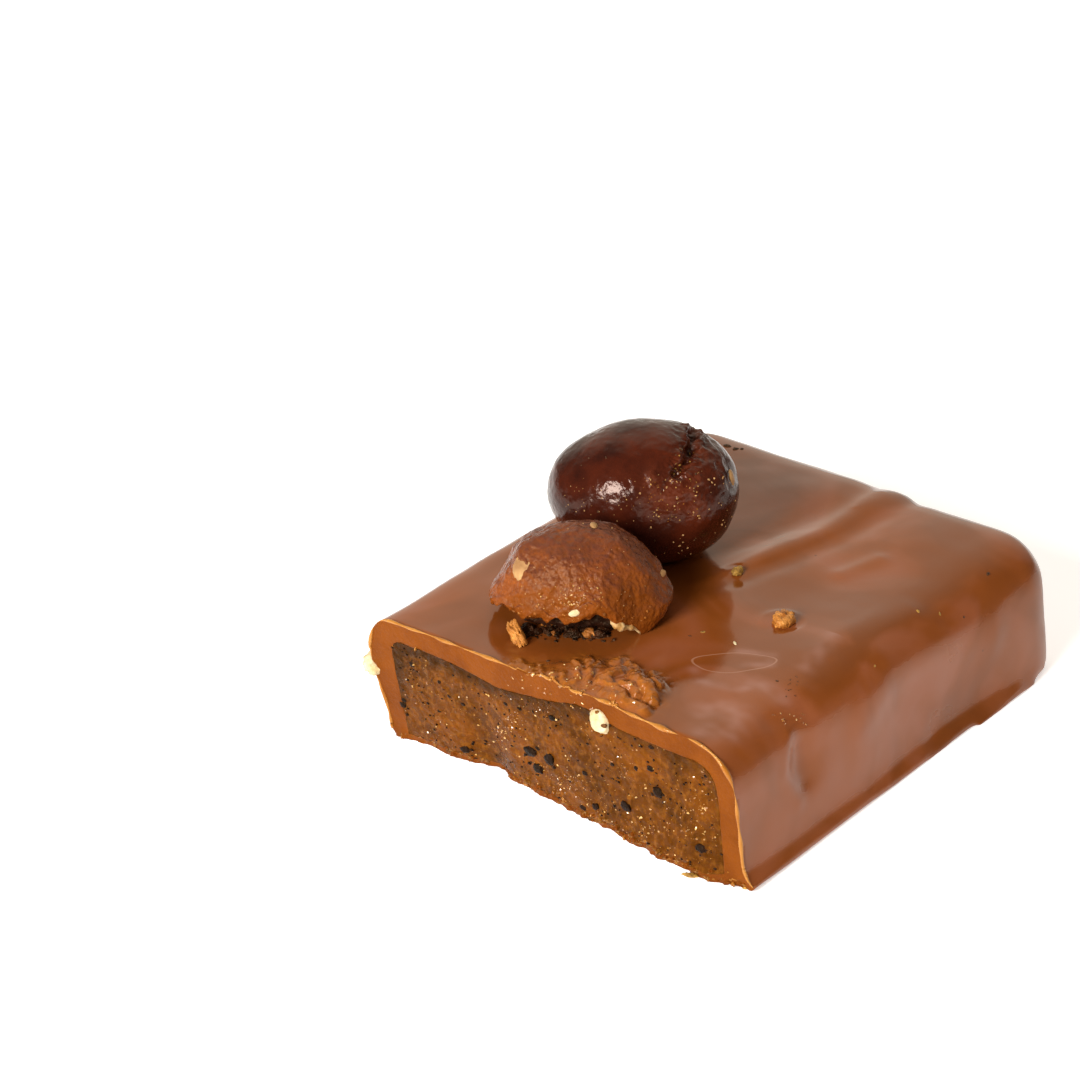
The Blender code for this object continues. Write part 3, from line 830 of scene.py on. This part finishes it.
def hardToffee():
    # boiled sugar and butter, set hard and cut: brown gold, grained with sugar, darker by the coat
    material, tree, place = newFinish("hardToffee")
    base = blend(tree, stretch(tree, cloudy(tree, place, 4.5, 4.0, 0.6), 0.38, 0.62), "#432204", "#633409")
    # sugar grain of 0.4 mm, dragged downwards by the knife
    drag = addNode(tree, "ShaderNodeMapping", {"Vector": place},
                   {"Scale": (1.0, 1.0, 0.7), "Rotation": (0.0, 0.3, 0.0)})
    speck = stretch(tree, cloudy(tree, drag.outputs[0], 0.4, 3.0), 0.48, 0.72, 0.0, 0.3)
    grained = blend(tree, speck, base, "#985C1C")
    # darker close to the coat
    darkenedNearCoat = blend(tree, painted(tree, "coatNear"), grained, "#2E1805")
    finish(tree, {"Base Color": darkenedNearCoat, "Normal": bumped(tree, cloudy(tree, place, 0.28), 0.6, 0.15)},
           {"Roughness": 0.26, "IOR": 1.5, "Specular IOR Level": 0.06, "Specular Tint": colour("#FFC878"),
            "Subsurface Weight": 0.25, "Subsurface Radius": (1.0, 0.45, 0.12), "Subsurface Scale": 1.0 * mm})
    return material


toffeeBore = surfaceOf(toffeeWalls)


def darkNearCoatShare(where):
    # the toffee is darker close to the coat, most at its top and its left end
    place, slope, face, depth = toffeeBore.find_nearest(at(*where))
    top = ramp(where.z, 2.0, 8.0) * (1.0 - 0.6 * ramp(where.x, 8.0, 30.0))
    left = 0.6 * (1.0 - ramp(where.x, 0.0, 4.0))
    edge = 1.0 - ease(depth / mm + 0.5 * wobble(where, 1.2, 8), 0.1, 1.5)
    return max(0.0, min(0.85, edge * (top + left)))


sculpt(toffeeBlock, pullFront)
toffeeKnife = makeKnife("toffeeKnife", cut["toffeeStep"], cut["toffeeGrain"])
carve(toffeeBlock, toffeeKnife)
smooth(toffeeBlock, 35.0)
paint(toffeeBlock, "coatNear", darkNearCoatShare)
cover(toffeeBlock, hardToffee())
cutFace = surfaceOf(toffeeBlock)
coatFace = surfaceOf(chocolateCoat)
bothFaces = surfaceOf(toffeeBlock, chocolateCoat)
discard(coatKnife, toffeeKnife, toffeeWalls)
settle(toffeeBlock, "toffee", "toffee")


# Small shapes: broken lumps, and copies of them laid on a surface

def brokenLump(name, size, level, rough, seed, flat=False):
    # a ball pulled out of round, pitted and squeezed to its size in millimetres
    deselect()
    bpy.ops.mesh.primitive_ico_sphere_add(subdivisions=level, radius=0.5)
    piece = bpy.context.object
    piece.name = name
    shift = Vector((3.1, 7.7, 5.9)) * seed
    for vertex in piece.data.vertices:
        out = vertex.co * 2.0
        pull = 1.0 + rough * (noise.noise(out * 1.1 + shift) + 0.6 * noise.noise(out * 2.6 + shift)
                              + 0.3 * noise.noise(out * 6.0 + shift) + 0.2 * noise.noise(out * 13.0 + shift))
        vertex.co = Vector((vertex.co.x * size[0], vertex.co.y * size[1], vertex.co.z * size[2])) * pull * mm
    if not flat:
        smooth(piece)
    return piece


def layOn(piece, place, slope, turn=0.0, sink=0.0):
    # stands the piece on a surface, its own z along the slope
    face = slope.to_track_quat("Z", "Y").to_matrix().to_4x4()
    piece.matrix_world = Matrix.Translation(place - slope * sink * mm) @ face @ Matrix.Rotation(turn, 4, "Z")
    return piece


def stamp(master, place, slope, size, draw, sink=0.3, flat=1.0):
    # a copy of a master about a millimetre across, turned at random; flat under 1 presses it down
    piece = copyOf(master, master.name)
    tumble = Matrix.Rotation(draw.uniform(0, 6.28), 4, "Z") @ Matrix.Rotation(draw.uniform(0, 6.28), 4, "X")
    scale = Matrix.Diagonal((size * draw.uniform(0.75, 1.3), size * draw.uniform(0.7, 1.1), size, 1.0))
    face = slope.to_track_quat("Z", "Y").to_matrix().to_4x4()
    press = face @ Matrix.Diagonal((1.0, 1.0, flat, 1.0)) @ face.transposed()
    move = Matrix.Translation(place - slope * size * sink * flat * mm)
    piece.data.transform(move @ press @ tumble @ scale)
    return piece


def makeMasters(count, name, size, level, rough, seed, flat=False):
    # a few lumps of one kind that are copied many times
    return [brokenLump(name, size, level, rough, seed + number, flat) for number in range(count)]


def randomOnCut(draw, surface, wide, height):
    # meets a surface on a level line from the front, at a random place along the cut
    x = draw.uniform(*wide)
    z = height()
    place, slope, face, reach = surface.ray_cast(at(x, -6.0, z), Vector((0.0, 1.0, 0.0)))
    return x, z, place, slope


def randomInside(draw):
    # the same, on the toffee
    return randomOnCut(draw, cutFace, cut["inside"], lambda: draw.uniform(*cut["insideHigh"]))


def bake(pieces, name):
    joined = joinAll(pieces, name)
    bpy.ops.object.transform_apply(location=True, rotation=True, scale=True)
    # nothing goes below the table
    sculpt(joined, lambda point, normal: (point.x, point.y, max(0.0, point.z)))
    return joined


# Coffee grounds in the toffee: pixel across, pixel down, size in millimetres

grounds = {
    "large": ((530, 751, 1.0), (549, 759, 1.05), (538, 768, 0.95), (659, 793, 0.95), (625, 806, 0.85),
              (596, 806, 0.75), (651, 769, 0.6), (701, 849, 0.75), (403, 704, 0.6), (412, 664, 0.5),
              (464, 749, 0.85), (552, 718, 0.6), (636, 768, 0.45), (651, 747, 0.4), (584, 808, 0.45),
              (439, 682, 0.35), (449, 696, 0.3), (463, 704, 0.35), (428, 703, 0.28), (612, 764, 0.3),
              (585, 773, 0.4), (404, 700, 0.4), (506, 704, 0.35), (537, 748, 0.4)),
    "grow": 1.12, "fine": 260, "fineSize": (0.09, 0.3), "seed": 11,
}


def makeGrounds():
    draw = random.Random(grounds["seed"])
    masters = makeMasters(4, "ground", (1.0, 0.85, 0.7), 3, 0.38, 40)
    front = Vector((0.0, -1.0, 0.0))
    pieces = []
    for across, down, size in grounds["large"]:
        place, slope = seen(cutFace, across, down)
        if place is None:
            continue
        # each large ground has three small ones near it
        pieces.append(stamp(draw.choice(masters), place, front, size * grounds["grow"], draw, 0.05, 0.4))
        for number in range(3):
            near = place + Vector((draw.gauss(0, 0.5), 0.0, draw.gauss(0, 0.4))) * mm
            pieces.append(stamp(draw.choice(masters), near, front, size * 0.3, draw, 0.2, 0.5))
    count = 0
    while count < grounds["fine"]:
        x, z, place, slope = randomInside(draw)
        # they lie in drifts
        if place is None or wobble((x, 0.0, z), 4.0, 9) < draw.uniform(-0.5, 0.3):
            continue
        master = draw.choice(masters)
        pieces.append(stamp(master, place, slope, draw.uniform(*grounds["fineSize"]), draw, 0.2))
        count += 1
    discard(*masters)
    return bake(pieces, "coffeeGrounds")


coffeeGrounds = makeGrounds()
# dark roasted and ground: nearly black, with a slight oily shine
cover(coffeeGrounds, plainFinish("roastedCoffeeGrounds", "#0E0603", "#1E0D06", 0.42, 1.0, 0.2, 0.6,
                                 gloss=0.12))
settle(coffeeGrounds, "roasted_coffee")


# Sugar crystals on the cut: glossy, and pale enough that their colour also paints glints (painted highlight)

glints = {
    "count": 760, "size": (0.05, 0.24), "inCluster": 0.45, "seed": 23,
    # middle pixel and spread in pixels
    "clusters": ((507, 732, 12), (516, 722, 9), (556, 778, 14), (570, 786, 10), (600, 800, 14),
                 (690, 800, 20), (706, 826, 16), (640, 830, 14), (540, 700, 12), (660, 820, 20)),
}


def makeGlints():
    draw = random.Random(glints["seed"])
    masters = makeMasters(3, "glint", (1.0, 0.9, 0.8), 1, 0.5, 60, flat=True)
    pieces = []
    while len(pieces) < glints["count"]:
        if draw.random() < glints["inCluster"]:
            across, down, spread = draw.choice(glints["clusters"])
            place, slope = seen(cutFace, draw.gauss(across, spread), draw.gauss(down, spread * 0.7))
        else:
            x, z, place, slope = randomInside(draw)
        if place is None or slope.y > -0.4:
            continue
        # most are tiny
        size = glints["size"][0] + (glints["size"][1] - glints["size"][0]) * draw.random() ** 3
        pieces.append(stamp(draw.choice(masters), place, slope, size, draw, 0.1))
    discard(*masters)
    return bake(pieces, "sugarGlints")


def sugarCrystalPaintedSparkle():
    # clear sugar crystals tinted by the toffee, sharp and very glossy: their pale gold is partly their own
    # colour and partly painted sparkle
    material, tree, place = newFinish("sugarCrystalPaintedSparkle")
    base = blend(tree, stretch(tree, cloudy(tree, place, 0.8, 1.0), 0.48, 0.68), "#8A5212", "#E0B468")
    finish(tree, {"Base Color": base},
           {"Roughness": 0.06, "IOR": 1.56, "Coat Weight": 1.0, "Coat Roughness": 0.04, "Coat IOR": 1.6})
    return material


crystal = sugarCrystalPaintedSparkle()
sugarGlints = makeGlints()
cover(sugarGlints, crystal)
settle(sugarGlints, "toffee")


# The beans' copies are remeshed fine enough to carve

def fineCopy(nodeName, name, voxel, smoothing):
    piece = nodeCopy(nodeName, name)
    remesh(piece, voxel, smoothing)
    return piece


# The whole bean: dark chocolate glaze over a coffee bean, its cleft open towards the camera

darkBean = {
    "voxel": 0.2, "smoothing": 3, "swell": 0.17,
    "waves": ((0.08, 3.2), (0.03, 1.1), (0.02, 0.42)),
    # the cleft wanders, has a raised lip on each side, folds across it and crumpled ground round it
    "cleft": ((694, 430), (692, 441), (691, 452), (685, 463), (677, 474)), "cleftDepth": 0.46,
    "cleftReach": 0.32, "wander": 0.22, "lip": 0.2, "lipAway": 0.6, "lipReach": 0.26,
    "fold": 0.09, "foldReach": 0.8, "foldsPerPoint": 20.0, "crumple": 0.12, "crumpleReach": 1.4,
    # two worn patches: pixels, reach, roughness, its size, how deep the patch lies, and a seed
    "patches": ((((658, 486), (672, 502), (694, 500), (690, 484)), 1.3, 0.15, 1.0, 0.06, 17),
                (((704, 448), (714, 460), (722, 474)), 1.7, 0.1, 1.3, 0.1, 18)),
    # how far from the cleft and the two patches the glaze is worn, and how strongly
    "wornReach": (0.7, 1.2, 1.3), "wornShare": (1.0, 1.0, 0.6),
}


def makeDarkBean():
    piece = fineCopy("dark_bean", "glazedBean", darkBean["voxel"], darkBean["smoothing"])
    fatten(piece, darkBean["swell"])
    skin = surfaceOf(piece)
    cleft = seenInBar(skin, darkBean["cleft"])
    patches = [(seenInBar(skin, pixels), *rest) for pixels, *rest in darkBean["patches"]]

    def cleftHeight(point):
        away, along = lineDistance(point, cleft)
        wander = away + darkBean["wander"] * wobble(point, 0.7, 14)
        lip = darkBean["lip"] * bell(wander - darkBean["lipAway"], darkBean["lipReach"])
        fold = math.sin(along * darkBean["foldsPerPoint"] + 6.0 * wobble(point, 0.5, 19))
        return (lip * (0.6 + wobble(point, 0.6, 15))
                - darkBean["cleftDepth"] * bell(wander, darkBean["cleftReach"])
                + darkBean["fold"] * bell(away, darkBean["foldReach"]) * fold
                + darkBean["crumple"] * bell(away, darkBean["crumpleReach"]) * crests(point, 0.7, 16))

    def shape(point, normal):
        off = sum(depth * wobble(point, size, 12 + size) for depth, size in darkBean["waves"])
        off += cleftHeight(point)
        for path, reach, rough, size, depth, seed in patches:
            off += bell(lineDistance(point, path)[0], reach) * (rough * crests(point, size, seed) - depth)
        return point + normal * off

    def wornShare(where):
        paths = [cleft] + [patch[0] for patch in patches]
        near = max(share * bell(lineDistance(where, path)[0], reach)
                   for path, share, reach in zip(paths, darkBean["wornShare"], darkBean["wornReach"]))
        return max(0.0, min(1.0, near * (0.5 + 0.9 * noise.fractal(where / 0.9, 0.8, 2.2, 4))))

    sculpt(piece, shape)
    smooth(piece)
    paint(piece, "worn", wornShare)
    return piece


def glazedDarkChocolate():
    # dark chocolate under a confectioner's glaze: deep red-brown and mirror bright
    material, tree, place = newFinish("glazedDarkChocolate")
    base = blend(tree, stretch(tree, cloudy(tree, place, 3.2), 0.4, 0.65), "#280D07", "#45190B")
    # where the glaze is worn it is dull and red brown
    worn = painted(tree, "worn")
    rough = stretch(tree, worn, 0.0, 1.0, 0.14, 0.45)
    finish(tree, {"Base Color": blend(tree, worn, base, "#562513"), "Roughness": rough,
                  "Normal": bumped(tree, cloudy(tree, place, 0.32), 0.34, 0.1)},
           {"IOR": 1.45, "Specular IOR Level": 0.34, "Specular Tint": colour("#FFE4D4")})
    return material


glazedBean = makeDarkBean()
cover(glazedBean, glazedDarkChocolate())
beanSkin = surfaceOf(glazedBean)
settle(glazedBean, "dark_chocolate", "dark_bean")


# The broken bean: a shell of milk chocolate whose front edge is bitten away

shell = {
    "voxel": 0.17, "smoothing": 2, "waves": ((0.1, 2.2), (0.07, 0.9), (0.055, 0.45), (0.04, 0.24)),
    # between these heights the dome is drawn in, as seen from the camera
    "middle": (8.3, 8.0), "taperLeft": 0.17, "taperRight": 0.1, "taperHeights": (11.8, 16.4),
    # the bitten rim: its roughness, a notch that opens the mouth and a lobe that hangs into it
    "rimHeights": (11.6, 13.0), "rimDepths": (5.0, 8.0), "rimRough": 0.7, "rimSize": 0.7,
    "notch": ((588, 619), (606, 614)), "notchReach": 0.6, "notchLift": 0.6, "notchHeights": (12.4, 13.8),
    "lobe": ((620, 606), (644, 608)), "lobeReach": 0.8, "lobeDrop": 1.0, "lobeHeights": (12.2, 13.8),
}


def makeShell():
    piece = fineCopy("milk_bean_shell", "brokenShell", shell["voxel"], shell["smoothing"])
    skin = surfaceOf(piece)
    lobe = levelled(seenInBar(skin, shell["lobe"]))
    notch = levelled(seenInBar(skin, shell["notch"]))
    turn = math.radians(camera["azimuth"])
    right = Vector((math.cos(turn), math.sin(turn), 0.0))

    def nearness(point, path, mark):
        # 1 on a mark's line, 0 far from it or above its heights
        away, along = lineDistance(Vector((point.x, point.y, 0.0)), path)
        return bell(away, shell[mark + "Reach"]) * (1.0 - ramp(point.z, *shell[mark + "Heights"]))

    def shape(point, normal):
        off = sum(depth * wobble(point, size, 22 + size) for depth, size in shell["waves"])
        moved = point + normal * off
        across = (point - Vector((*shell["middle"], 0.0))).dot(right)
        taper = shell["taperLeft"] if across < 0.0 else shell["taperRight"]
        moved -= right * across * taper * math.sin(math.pi * ramp(point.z, *shell["taperHeights"]))
        rim = (1.0 - ramp(point.z, *shell["rimHeights"])) * (1.0 - ramp(point.y, *shell["rimDepths"]))
        moved.z += rim * shell["rimRough"] * wobble(point, shell["rimSize"], 24)
        moved.z += shell["notchLift"] * nearness(point, notch, "notch")
        moved.z -= shell["lobeDrop"] * nearness(point, lobe, "lobe")
        return moved

    sculpt(piece, shape)
    smooth(piece)
    return piece


def dustedMilkChocolate():
    # milk chocolate rolled in cocoa: grainy, half matt, darker where the powder lies
    material, tree, place = newFinish("dustedMilkChocolate")
    drift = cloudy(tree, place, 3.0, 5.0)
    base = blend(tree, stretch(tree, drift, 0.4, 0.62), "#6C350C", "#824112")
    fine = cloudy(tree, place, 0.45, 5.0)
    powder = reckon(tree, "MULTIPLY", stretch(tree, upward(tree), 0.2, 0.8, 0.0, 1.1), fine)
    finish(tree, {"Base Color": blend(tree, powder, base, "#4E2B26"), "Normal": bumped(tree, fine, 0.8, 0.25),
                  "Roughness": stretch(tree, drift, 0.35, 0.65, 0.16, 0.32)},
           {"IOR": 1.47, "Specular IOR Level": 0.2, "Specular Tint": colour("#FFDCB4")})
    return material


brokenShell = makeShell()
cover(brokenShell, dustedMilkChocolate())
shellSkin = surfaceOf(brokenShell)
settle(brokenShell, "dusted_chocolate", "milk_bean_shell")


# What the crumbs and flakes are made of

finishes = {
    # pale glossy bits whose light colour is partly painted glint
    "glint": crystal,
    # cream coloured nut and biscuit flakes: dry, slightly waxy
    "pale": plainFinish("paleNut", "#8E6640", "#B08858", 0.5, 1.2, 0.3, 0.35, gloss=0.3),
    # broken biscuit and roasted sugar: dry, rough and orange brown
    "roast": plainFinish("roastCrumb", "#AC682A", "#74401A", 0.42, 0.6, 0.25, 0.9),
    # a splinter of boiled sugar and biscuit: bright orange brown, rough, with small glossy breaks
    "sugar": plainFinish("sugarCrumb", "#D08A40", "#98581F", 0.32, 0.6, 0.22, 0.9),
    # splinters of toffee: brown gold with glossy breaks
    "toffee": plainFinish("toffeeSplinters", "#56300A", "#935B1C", 0.25, 0.6, 0.25, 0.8),
    # blanched nut: near white, matt
    "cream": plainFinish("blanchedNut", "#B79E70", "#D9C9A0", 0.55, 0.8, 0.3, 0.5),
    # a scrap of seed, yellow with brown husk
    "seed": plainFinish("seedHusk", "#B4883C", "#5A3A1C", 0.5, 0.45, 0.2, 0.6),
    # coffee grounds that fell on the coat while it set
    "dark": plainFinish("fallenGrounds", "#2A160C", "#4A2A16", 0.5, 0.4, 0.2, 0.6),
    # the burnt inside of the bean: dark, oily and sharp edged
    "char": plainFinish("charredCrumb", "#120804", "#3C1D0D", 0.28, 0.5, 0.22, 1.0, 0.3, 0.35),
}

# What is left of the broken bean: its charred inside, and a chip beside it

remains = {"levels": 2, "rough": 0.3, "size": 1.2}
beanRemains = nodeCopy("milk_bean_core", "beanRemains")
modify(beanRemains, "SUBSURF", levels=remains["levels"], render_levels=remains["levels"])
sculpt(beanRemains, lambda point, normal:
       point + normal * remains["rough"] * crests(point, remains["size"], 31))
smooth(beanRemains)
# the coffee bean's charred inside: almost black, crumbly, with glossy breaks
cover(beanRemains, plainFinish("charredBean", "#1A0D08", "#3A1C10", 0.4, 0.8, 0.3, 0.9))
settle(beanRemains, "roasted_coffee", "milk_bean_core")

chip = {"size": (2.5, 0.95, 0.85), "foot": (516, 640), "lift": 0.5, "along": (2.4, -1.3, -1.0)}
shellChip = brokenLump("shellChip", chip["size"], 5, 0.4, 65)
shellChip.rotation_euler = Vector(chip["along"]).to_track_quat("X", "Z").to_euler()
shellChip.location = seen(coatFace, *chip["foot"])[0] + Vector((0.0, 0.0, chip["lift"] * mm))
cover(shellChip, finishes["sugar"])
settle(shellChip, "dusted_chocolate", "milk_bean_chip")


# Flakes, crumbs and the nib: pixel, size in millimetres, turn, how deep it sits

bits = (
    ("shellFlake", shellSkin, (521, 567), (1.3, 1.9, 0.3), 0.3, 0.05, "pale"),
    ("shellFlakeFront", shellSkin, (575, 613), (0.9, 0.45, 0.3), 0.3, 0.02, "cream"),
    ("shellFlakeTop", shellSkin, (594, 525), (0.8, 0.5, 0.3), 0.2, 0.03, "pale"),
    ("shellFlakeRight", shellSkin, (663, 573), (0.6, 0.5, 0.25), 0.4, 0.02, "pale"),
    ("beanFlake", beanSkin, (732, 477), (1.1, 0.7, 0.3), 1.2, 0.05, "pale"),
    ("whiteNib", cutFace, (600, 721), (1.45, 1.85, 1.1), 0.45, 0.0, "cream"),
    ("orangeCrumb", coatFace, (783, 622), (2.0, 1.4, 1.1), 0.5, -0.25, "sugar"),
    ("seedCrumb", coatFace, (737, 572), (0.95, 0.75, 0.65), 0.4, -0.1, "seed"),
    ("cornerChip", coatFace, (727, 446), (0.6, 0.45, 0.35), 0.2, 0.05, "dark"),
    ("cornerChipMiddle", coatFace, (735, 449), (0.5, 0.35, 0.3), 0.9, 0.05, "dark"),
    ("cornerChipRight", coatFace, (742, 449), (0.35, 0.3, 0.25), 1.6, 0.05, "dark"),
    ("streakFlake", coatFace, (735, 643), (0.55, 0.2, 0.15), 0.7, 0.02, "cream"),
    ("streakGrain", coatFace, (703, 632), (0.4, 0.22, 0.18), 0.5, 0.03, "seed"),
    ("streakSplinter", coatFace, (690, 636), (0.3, 0.15, 0.12), 0.1, 0.03, "dark"),
    ("topSpeck", coatFace, (548, 661), (0.3, 0.25, 0.2), 0.1, 0.04, "dark"),
    ("farSpeck", coatFace, (988, 574), (0.35, 0.25, 0.2), 0.1, 0.04, "dark"),
    ("sideSpeck", coatFace, (964, 617), (0.25, 0.2, 0.15), 0.1, 0.04, "dark"),
    ("goldSpeck", coatFace, (918, 611), (0.4, 0.25, 0.15), 0.4, 0.03, "seed"),
    ("goldSpeckRight", coatFace, (940, 614), (0.3, 0.2, 0.12), 0.9, 0.03, "seed"),
    ("goldSpeckLow", coatFace, (875, 666), (0.25, 0.18, 0.12), 0.2, 0.03, "seed"),
    ("nearSpeck", coatFace, (777, 681), (0.22, 0.2, 0.15), 0.2, 0.03, "dark"),
)

for number, (name, surface, pixel, size, turn, sink, kind) in enumerate(bits):
    place, slope = seen(surface, *pixel)
    if place is None:
        print("no surface for", name)
        continue
    # the pale and the cream bits are smoother than the rest
    piece = brokenLump(name, size, 4, 0.14 if kind in ("cream", "pale") else 0.35, 70 + number)
    layOn(piece, place, slope, turn, sink)
    cover(piece, finishes[kind])
    settle(piece, "toffee" if surface is cutFace else "milk_chocolate")
    if name == "whiteNib":
        nibSkin = surfaceOf(piece)

# brown husk left on the nib
for number, (across, down, size) in enumerate(((604, 726, 0.42), (597, 712, 0.3))):
    place, slope = seen(nibSkin, across, down)
    if place is None:
        continue
    husk = brokenLump("nibHusk" + str(number + 1), (size, size * 0.8, size * 0.3), 3, 0.3, 140 + number)
    layOn(husk, place, slope)
    cover(husk, finishes["toffee"])
    settle(husk, "toffee")

# The cream inside of the shell, which shows along the lobe's lower edge

# pixel columns, the pixel rows that are searched upwards, and thickness and relief in millimetres
creamRim = {"across": (610, 613, 617, 622, 627, 632, 637, 641), "from": 650, "to": 596,
            "thick": 0.2, "vary": 0.9, "rough": 0.1}


def makeCreamRim():
    places = []
    for across in creamRim["across"]:
        # the lowest pixel of this column that still shows the shell
        for down in range(creamRim["from"], creamRim["to"], -1):
            place, slope = seen(shellSkin, across, down)
            if place is not None:
                places.append(place)
                break
    piece = bareEdges("creamRim", places, [(index, index + 1) for index in range(len(places) - 1)])
    modify(piece, "SUBSURF", levels=3, render_levels=3)

    def swell(where, index, count):
        end = math.sin(math.pi * (index + 0.6) / (count + 0.2)) ** 0.5
        return end * (1.0 + creamRim["vary"] * wobble(where, 0.6, 4))

    wireAlong(piece, creamRim["thick"], 4, swell)
    sculpt(piece, lambda point, normal: point + normal * creamRim["rough"] * wobble(point, 0.3, 33))
    smooth(piece)
    return piece


creamEdge = makeCreamRim()
cover(creamEdge, plainFinish("creamLining", "#A67840", "#CFAE7C", 0.4, 0.6, 0.25, 0.5))
settle(creamEdge, "dusted_chocolate")

wallCrumb = brokenLump("wallCrumb", (1.5, 1.7, 1.6), 4, 0.4, 96)
wallCrumb.location = at(-0.85, 0.3, 5.4)
cover(wallCrumb, finishes["cream"])
settle(wallCrumb, "milk_chocolate")


# Crumbs spilt from the shell's mouth, dust, and pale glossy bits that are painted glints: the finish and the
# count, the pixels across and down that they lie in, their sizes, how deep they sit, and a seed

spills = (
    ("mouthCrumbs", coatFace, "char", 26, ((524, 608), (626, 635)), (0.6, 1.5), 0.1, 51),
    ("mouthBiscuit", coatFace, "roast", 12, ((545, 592), (626, 637)), (0.35, 1.0), -0.1, 52),
    ("mouthGrit", coatFace, "char", 40, ((518, 614), (632, 642)), (0.12, 0.4), 0.1, 57),
    ("rimCrumbs", shellSkin, "roast", 44, ((500, 655), (600, 634)), (0.1, 0.32), 0.35, 53),
    # painted highlight: pale glossy bits that stand for golden glints on the coat
    ("goldPaintedGlints", coatFace, "glint", 16, ((772, 806), (712, 724)), (0.1, 0.26), 0.3, 62),
    ("brownCluster", coatFace, "dark", 18, ((785, 798), (676, 697)), (0.07, 0.18), 0.3, 63),
    # pale specks on the bean: partly real dust, partly painted glints
    ("beanDustAndGlints", beanSkin, "pale", 60, ((640, 738), (470, 560)), (0.05, 0.22), 0.2, 54),
    ("beanLeftDustAndGlints", beanSkin, "pale", 30, ((556, 640), (480, 525)), (0.04, 0.14), 0.2, 59),
    ("shellDust", shellSkin, "pale", 40, ((500, 670), (520, 620)), (0.05, 0.15), 0.2, 55),
    # painted highlights: pale glossy bits that stand for sparkle on the shell, the bean and its scar
    ("shellPaintedGlints", shellSkin, "glint", 60, ((518, 604), (576, 614)), (0.05, 0.16), 0.2, 64),
    ("shellPaintedGleam", shellSkin, "glint", 26, ((560, 584), (594, 606)), (0.08, 0.24), 0.25, 68),
    ("beanPaintedGlints", beanSkin, "glint", 30, ((572, 655), (478, 516)), (0.035, 0.1), 0.2, 65),
    ("scarPaintedGlints", beanSkin, "glint", 60, ((648, 700), (478, 522)), (0.04, 0.15), 0.2, 66),
    ("cleftScraps", beanSkin, "seed", 26, ((672, 700), (450, 488)), (0.07, 0.22), 0.35, 67),
    # painted highlights: pale glossy bits that stand for sparkle on the crackled patch
    ("patchPaintedGlints", coatFace, "glint", 60, ((508, 654), (664, 712)), (0.1, 0.34), 0.25, 58),
    ("beanGrounds", beanSkin, "dark", 40, ((553, 735), (430, 560)), (0.08, 0.26), 0.25, 56),
)


def spill(name, surface, kind, count, area, size, sink, seed):
    draw = random.Random(seed)
    masters = makeMasters(3, "spilt", (1.0, 0.85, 0.75), 3, 0.6, seed)
    pieces = []
    while len(pieces) < count:
        place, slope = seen(surface, draw.uniform(*area[0]), draw.uniform(*area[1]))
        if place is not None:
            pieces.append(stamp(draw.choice(masters), place, slope, draw.uniform(*size), draw, sink))
    discard(*masters)
    piece = bake(pieces, name)
    cover(piece, finishes[kind])
    settle(piece, "roasted_coffee" if kind in ("dark", "char") else "milk_chocolate")


for line in spills:
    spill(*line)


# Crumbs that the knife pushed down to the foot of the cut

footCrumbs = {
    "count": 170, "size": (0.12, 0.65), "wide": (1.0, 31.0), "high": 0.35, "lift": 0.12,
    # the left end has fewer
    "fewerUpTo": 12.0, "fewer": 0.4,
    # drawn out shreds lying at the foot: pixel, length and turn
    "shreds": ((690, 877, 1.0, 0.5), (697, 874, 0.7, -0.3), (463, 757, 1.0, 0.1), (470, 760, 0.6, 0.6),
               (748, 889, 0.9, 0.8), (739, 885, 0.6, 0.2), (755, 886, 0.6, 1.2), (553, 798, 0.5, 0.4)),
    "shredThick": (0.35, 0.3), "shredLift": 0.16,
}


def makeShreds():
    pieces = []
    for number, (across, down, length, turn) in enumerate(footCrumbs["shreds"]):
        piece = brokenLump("shred", (length, *footCrumbs["shredThick"]), 3, 0.45, 150 + number)
        place = onTable(across, down) + Vector((0.0, 0.0, footCrumbs["shredLift"] * mm))
        pieces.append(layOn(piece, place, Vector((0.0, 0.0, 1.0)), turn))
    return bake(pieces, "footShreds")


def makeFootCrumbs(name, seed):
    draw = random.Random(seed)
    masters = makeMasters(4, "footCrumb", (1.0, 0.8, 0.6), 3, 0.6, seed)
    pieces = []

    def height():
        return abs(draw.gauss(0.0, footCrumbs["high"])) + footCrumbs["lift"]

    while len(pieces) < footCrumbs["count"]:
        x, z, place, slope = randomOnCut(draw, bothFaces, footCrumbs["wide"], height)
        if place is None or (x < footCrumbs["fewerUpTo"] and draw.random() < footCrumbs["fewer"]):
            continue
        size = footCrumbs["size"][0] + (footCrumbs["size"][1] - footCrumbs["size"][0]) * draw.random() ** 2
        pieces.append(stamp(draw.choice(masters), place, slope, size, draw, 0.25))
    discard(*masters)
    return bake(pieces, name)


crumbs = makeFootCrumbs("footCrumbs", 61)
cover(crumbs, cutMilkChocolate)
settle(crumbs, "milk_chocolate")
toffeeCrumbs = makeFootCrumbs("footToffee", 84)
cover(toffeeCrumbs, finishes["toffee"])
settle(toffeeCrumbs, "toffee")
shreds = makeShreds()
cover(shreds, finishes["seed"])
settle(shreds, "toffee")
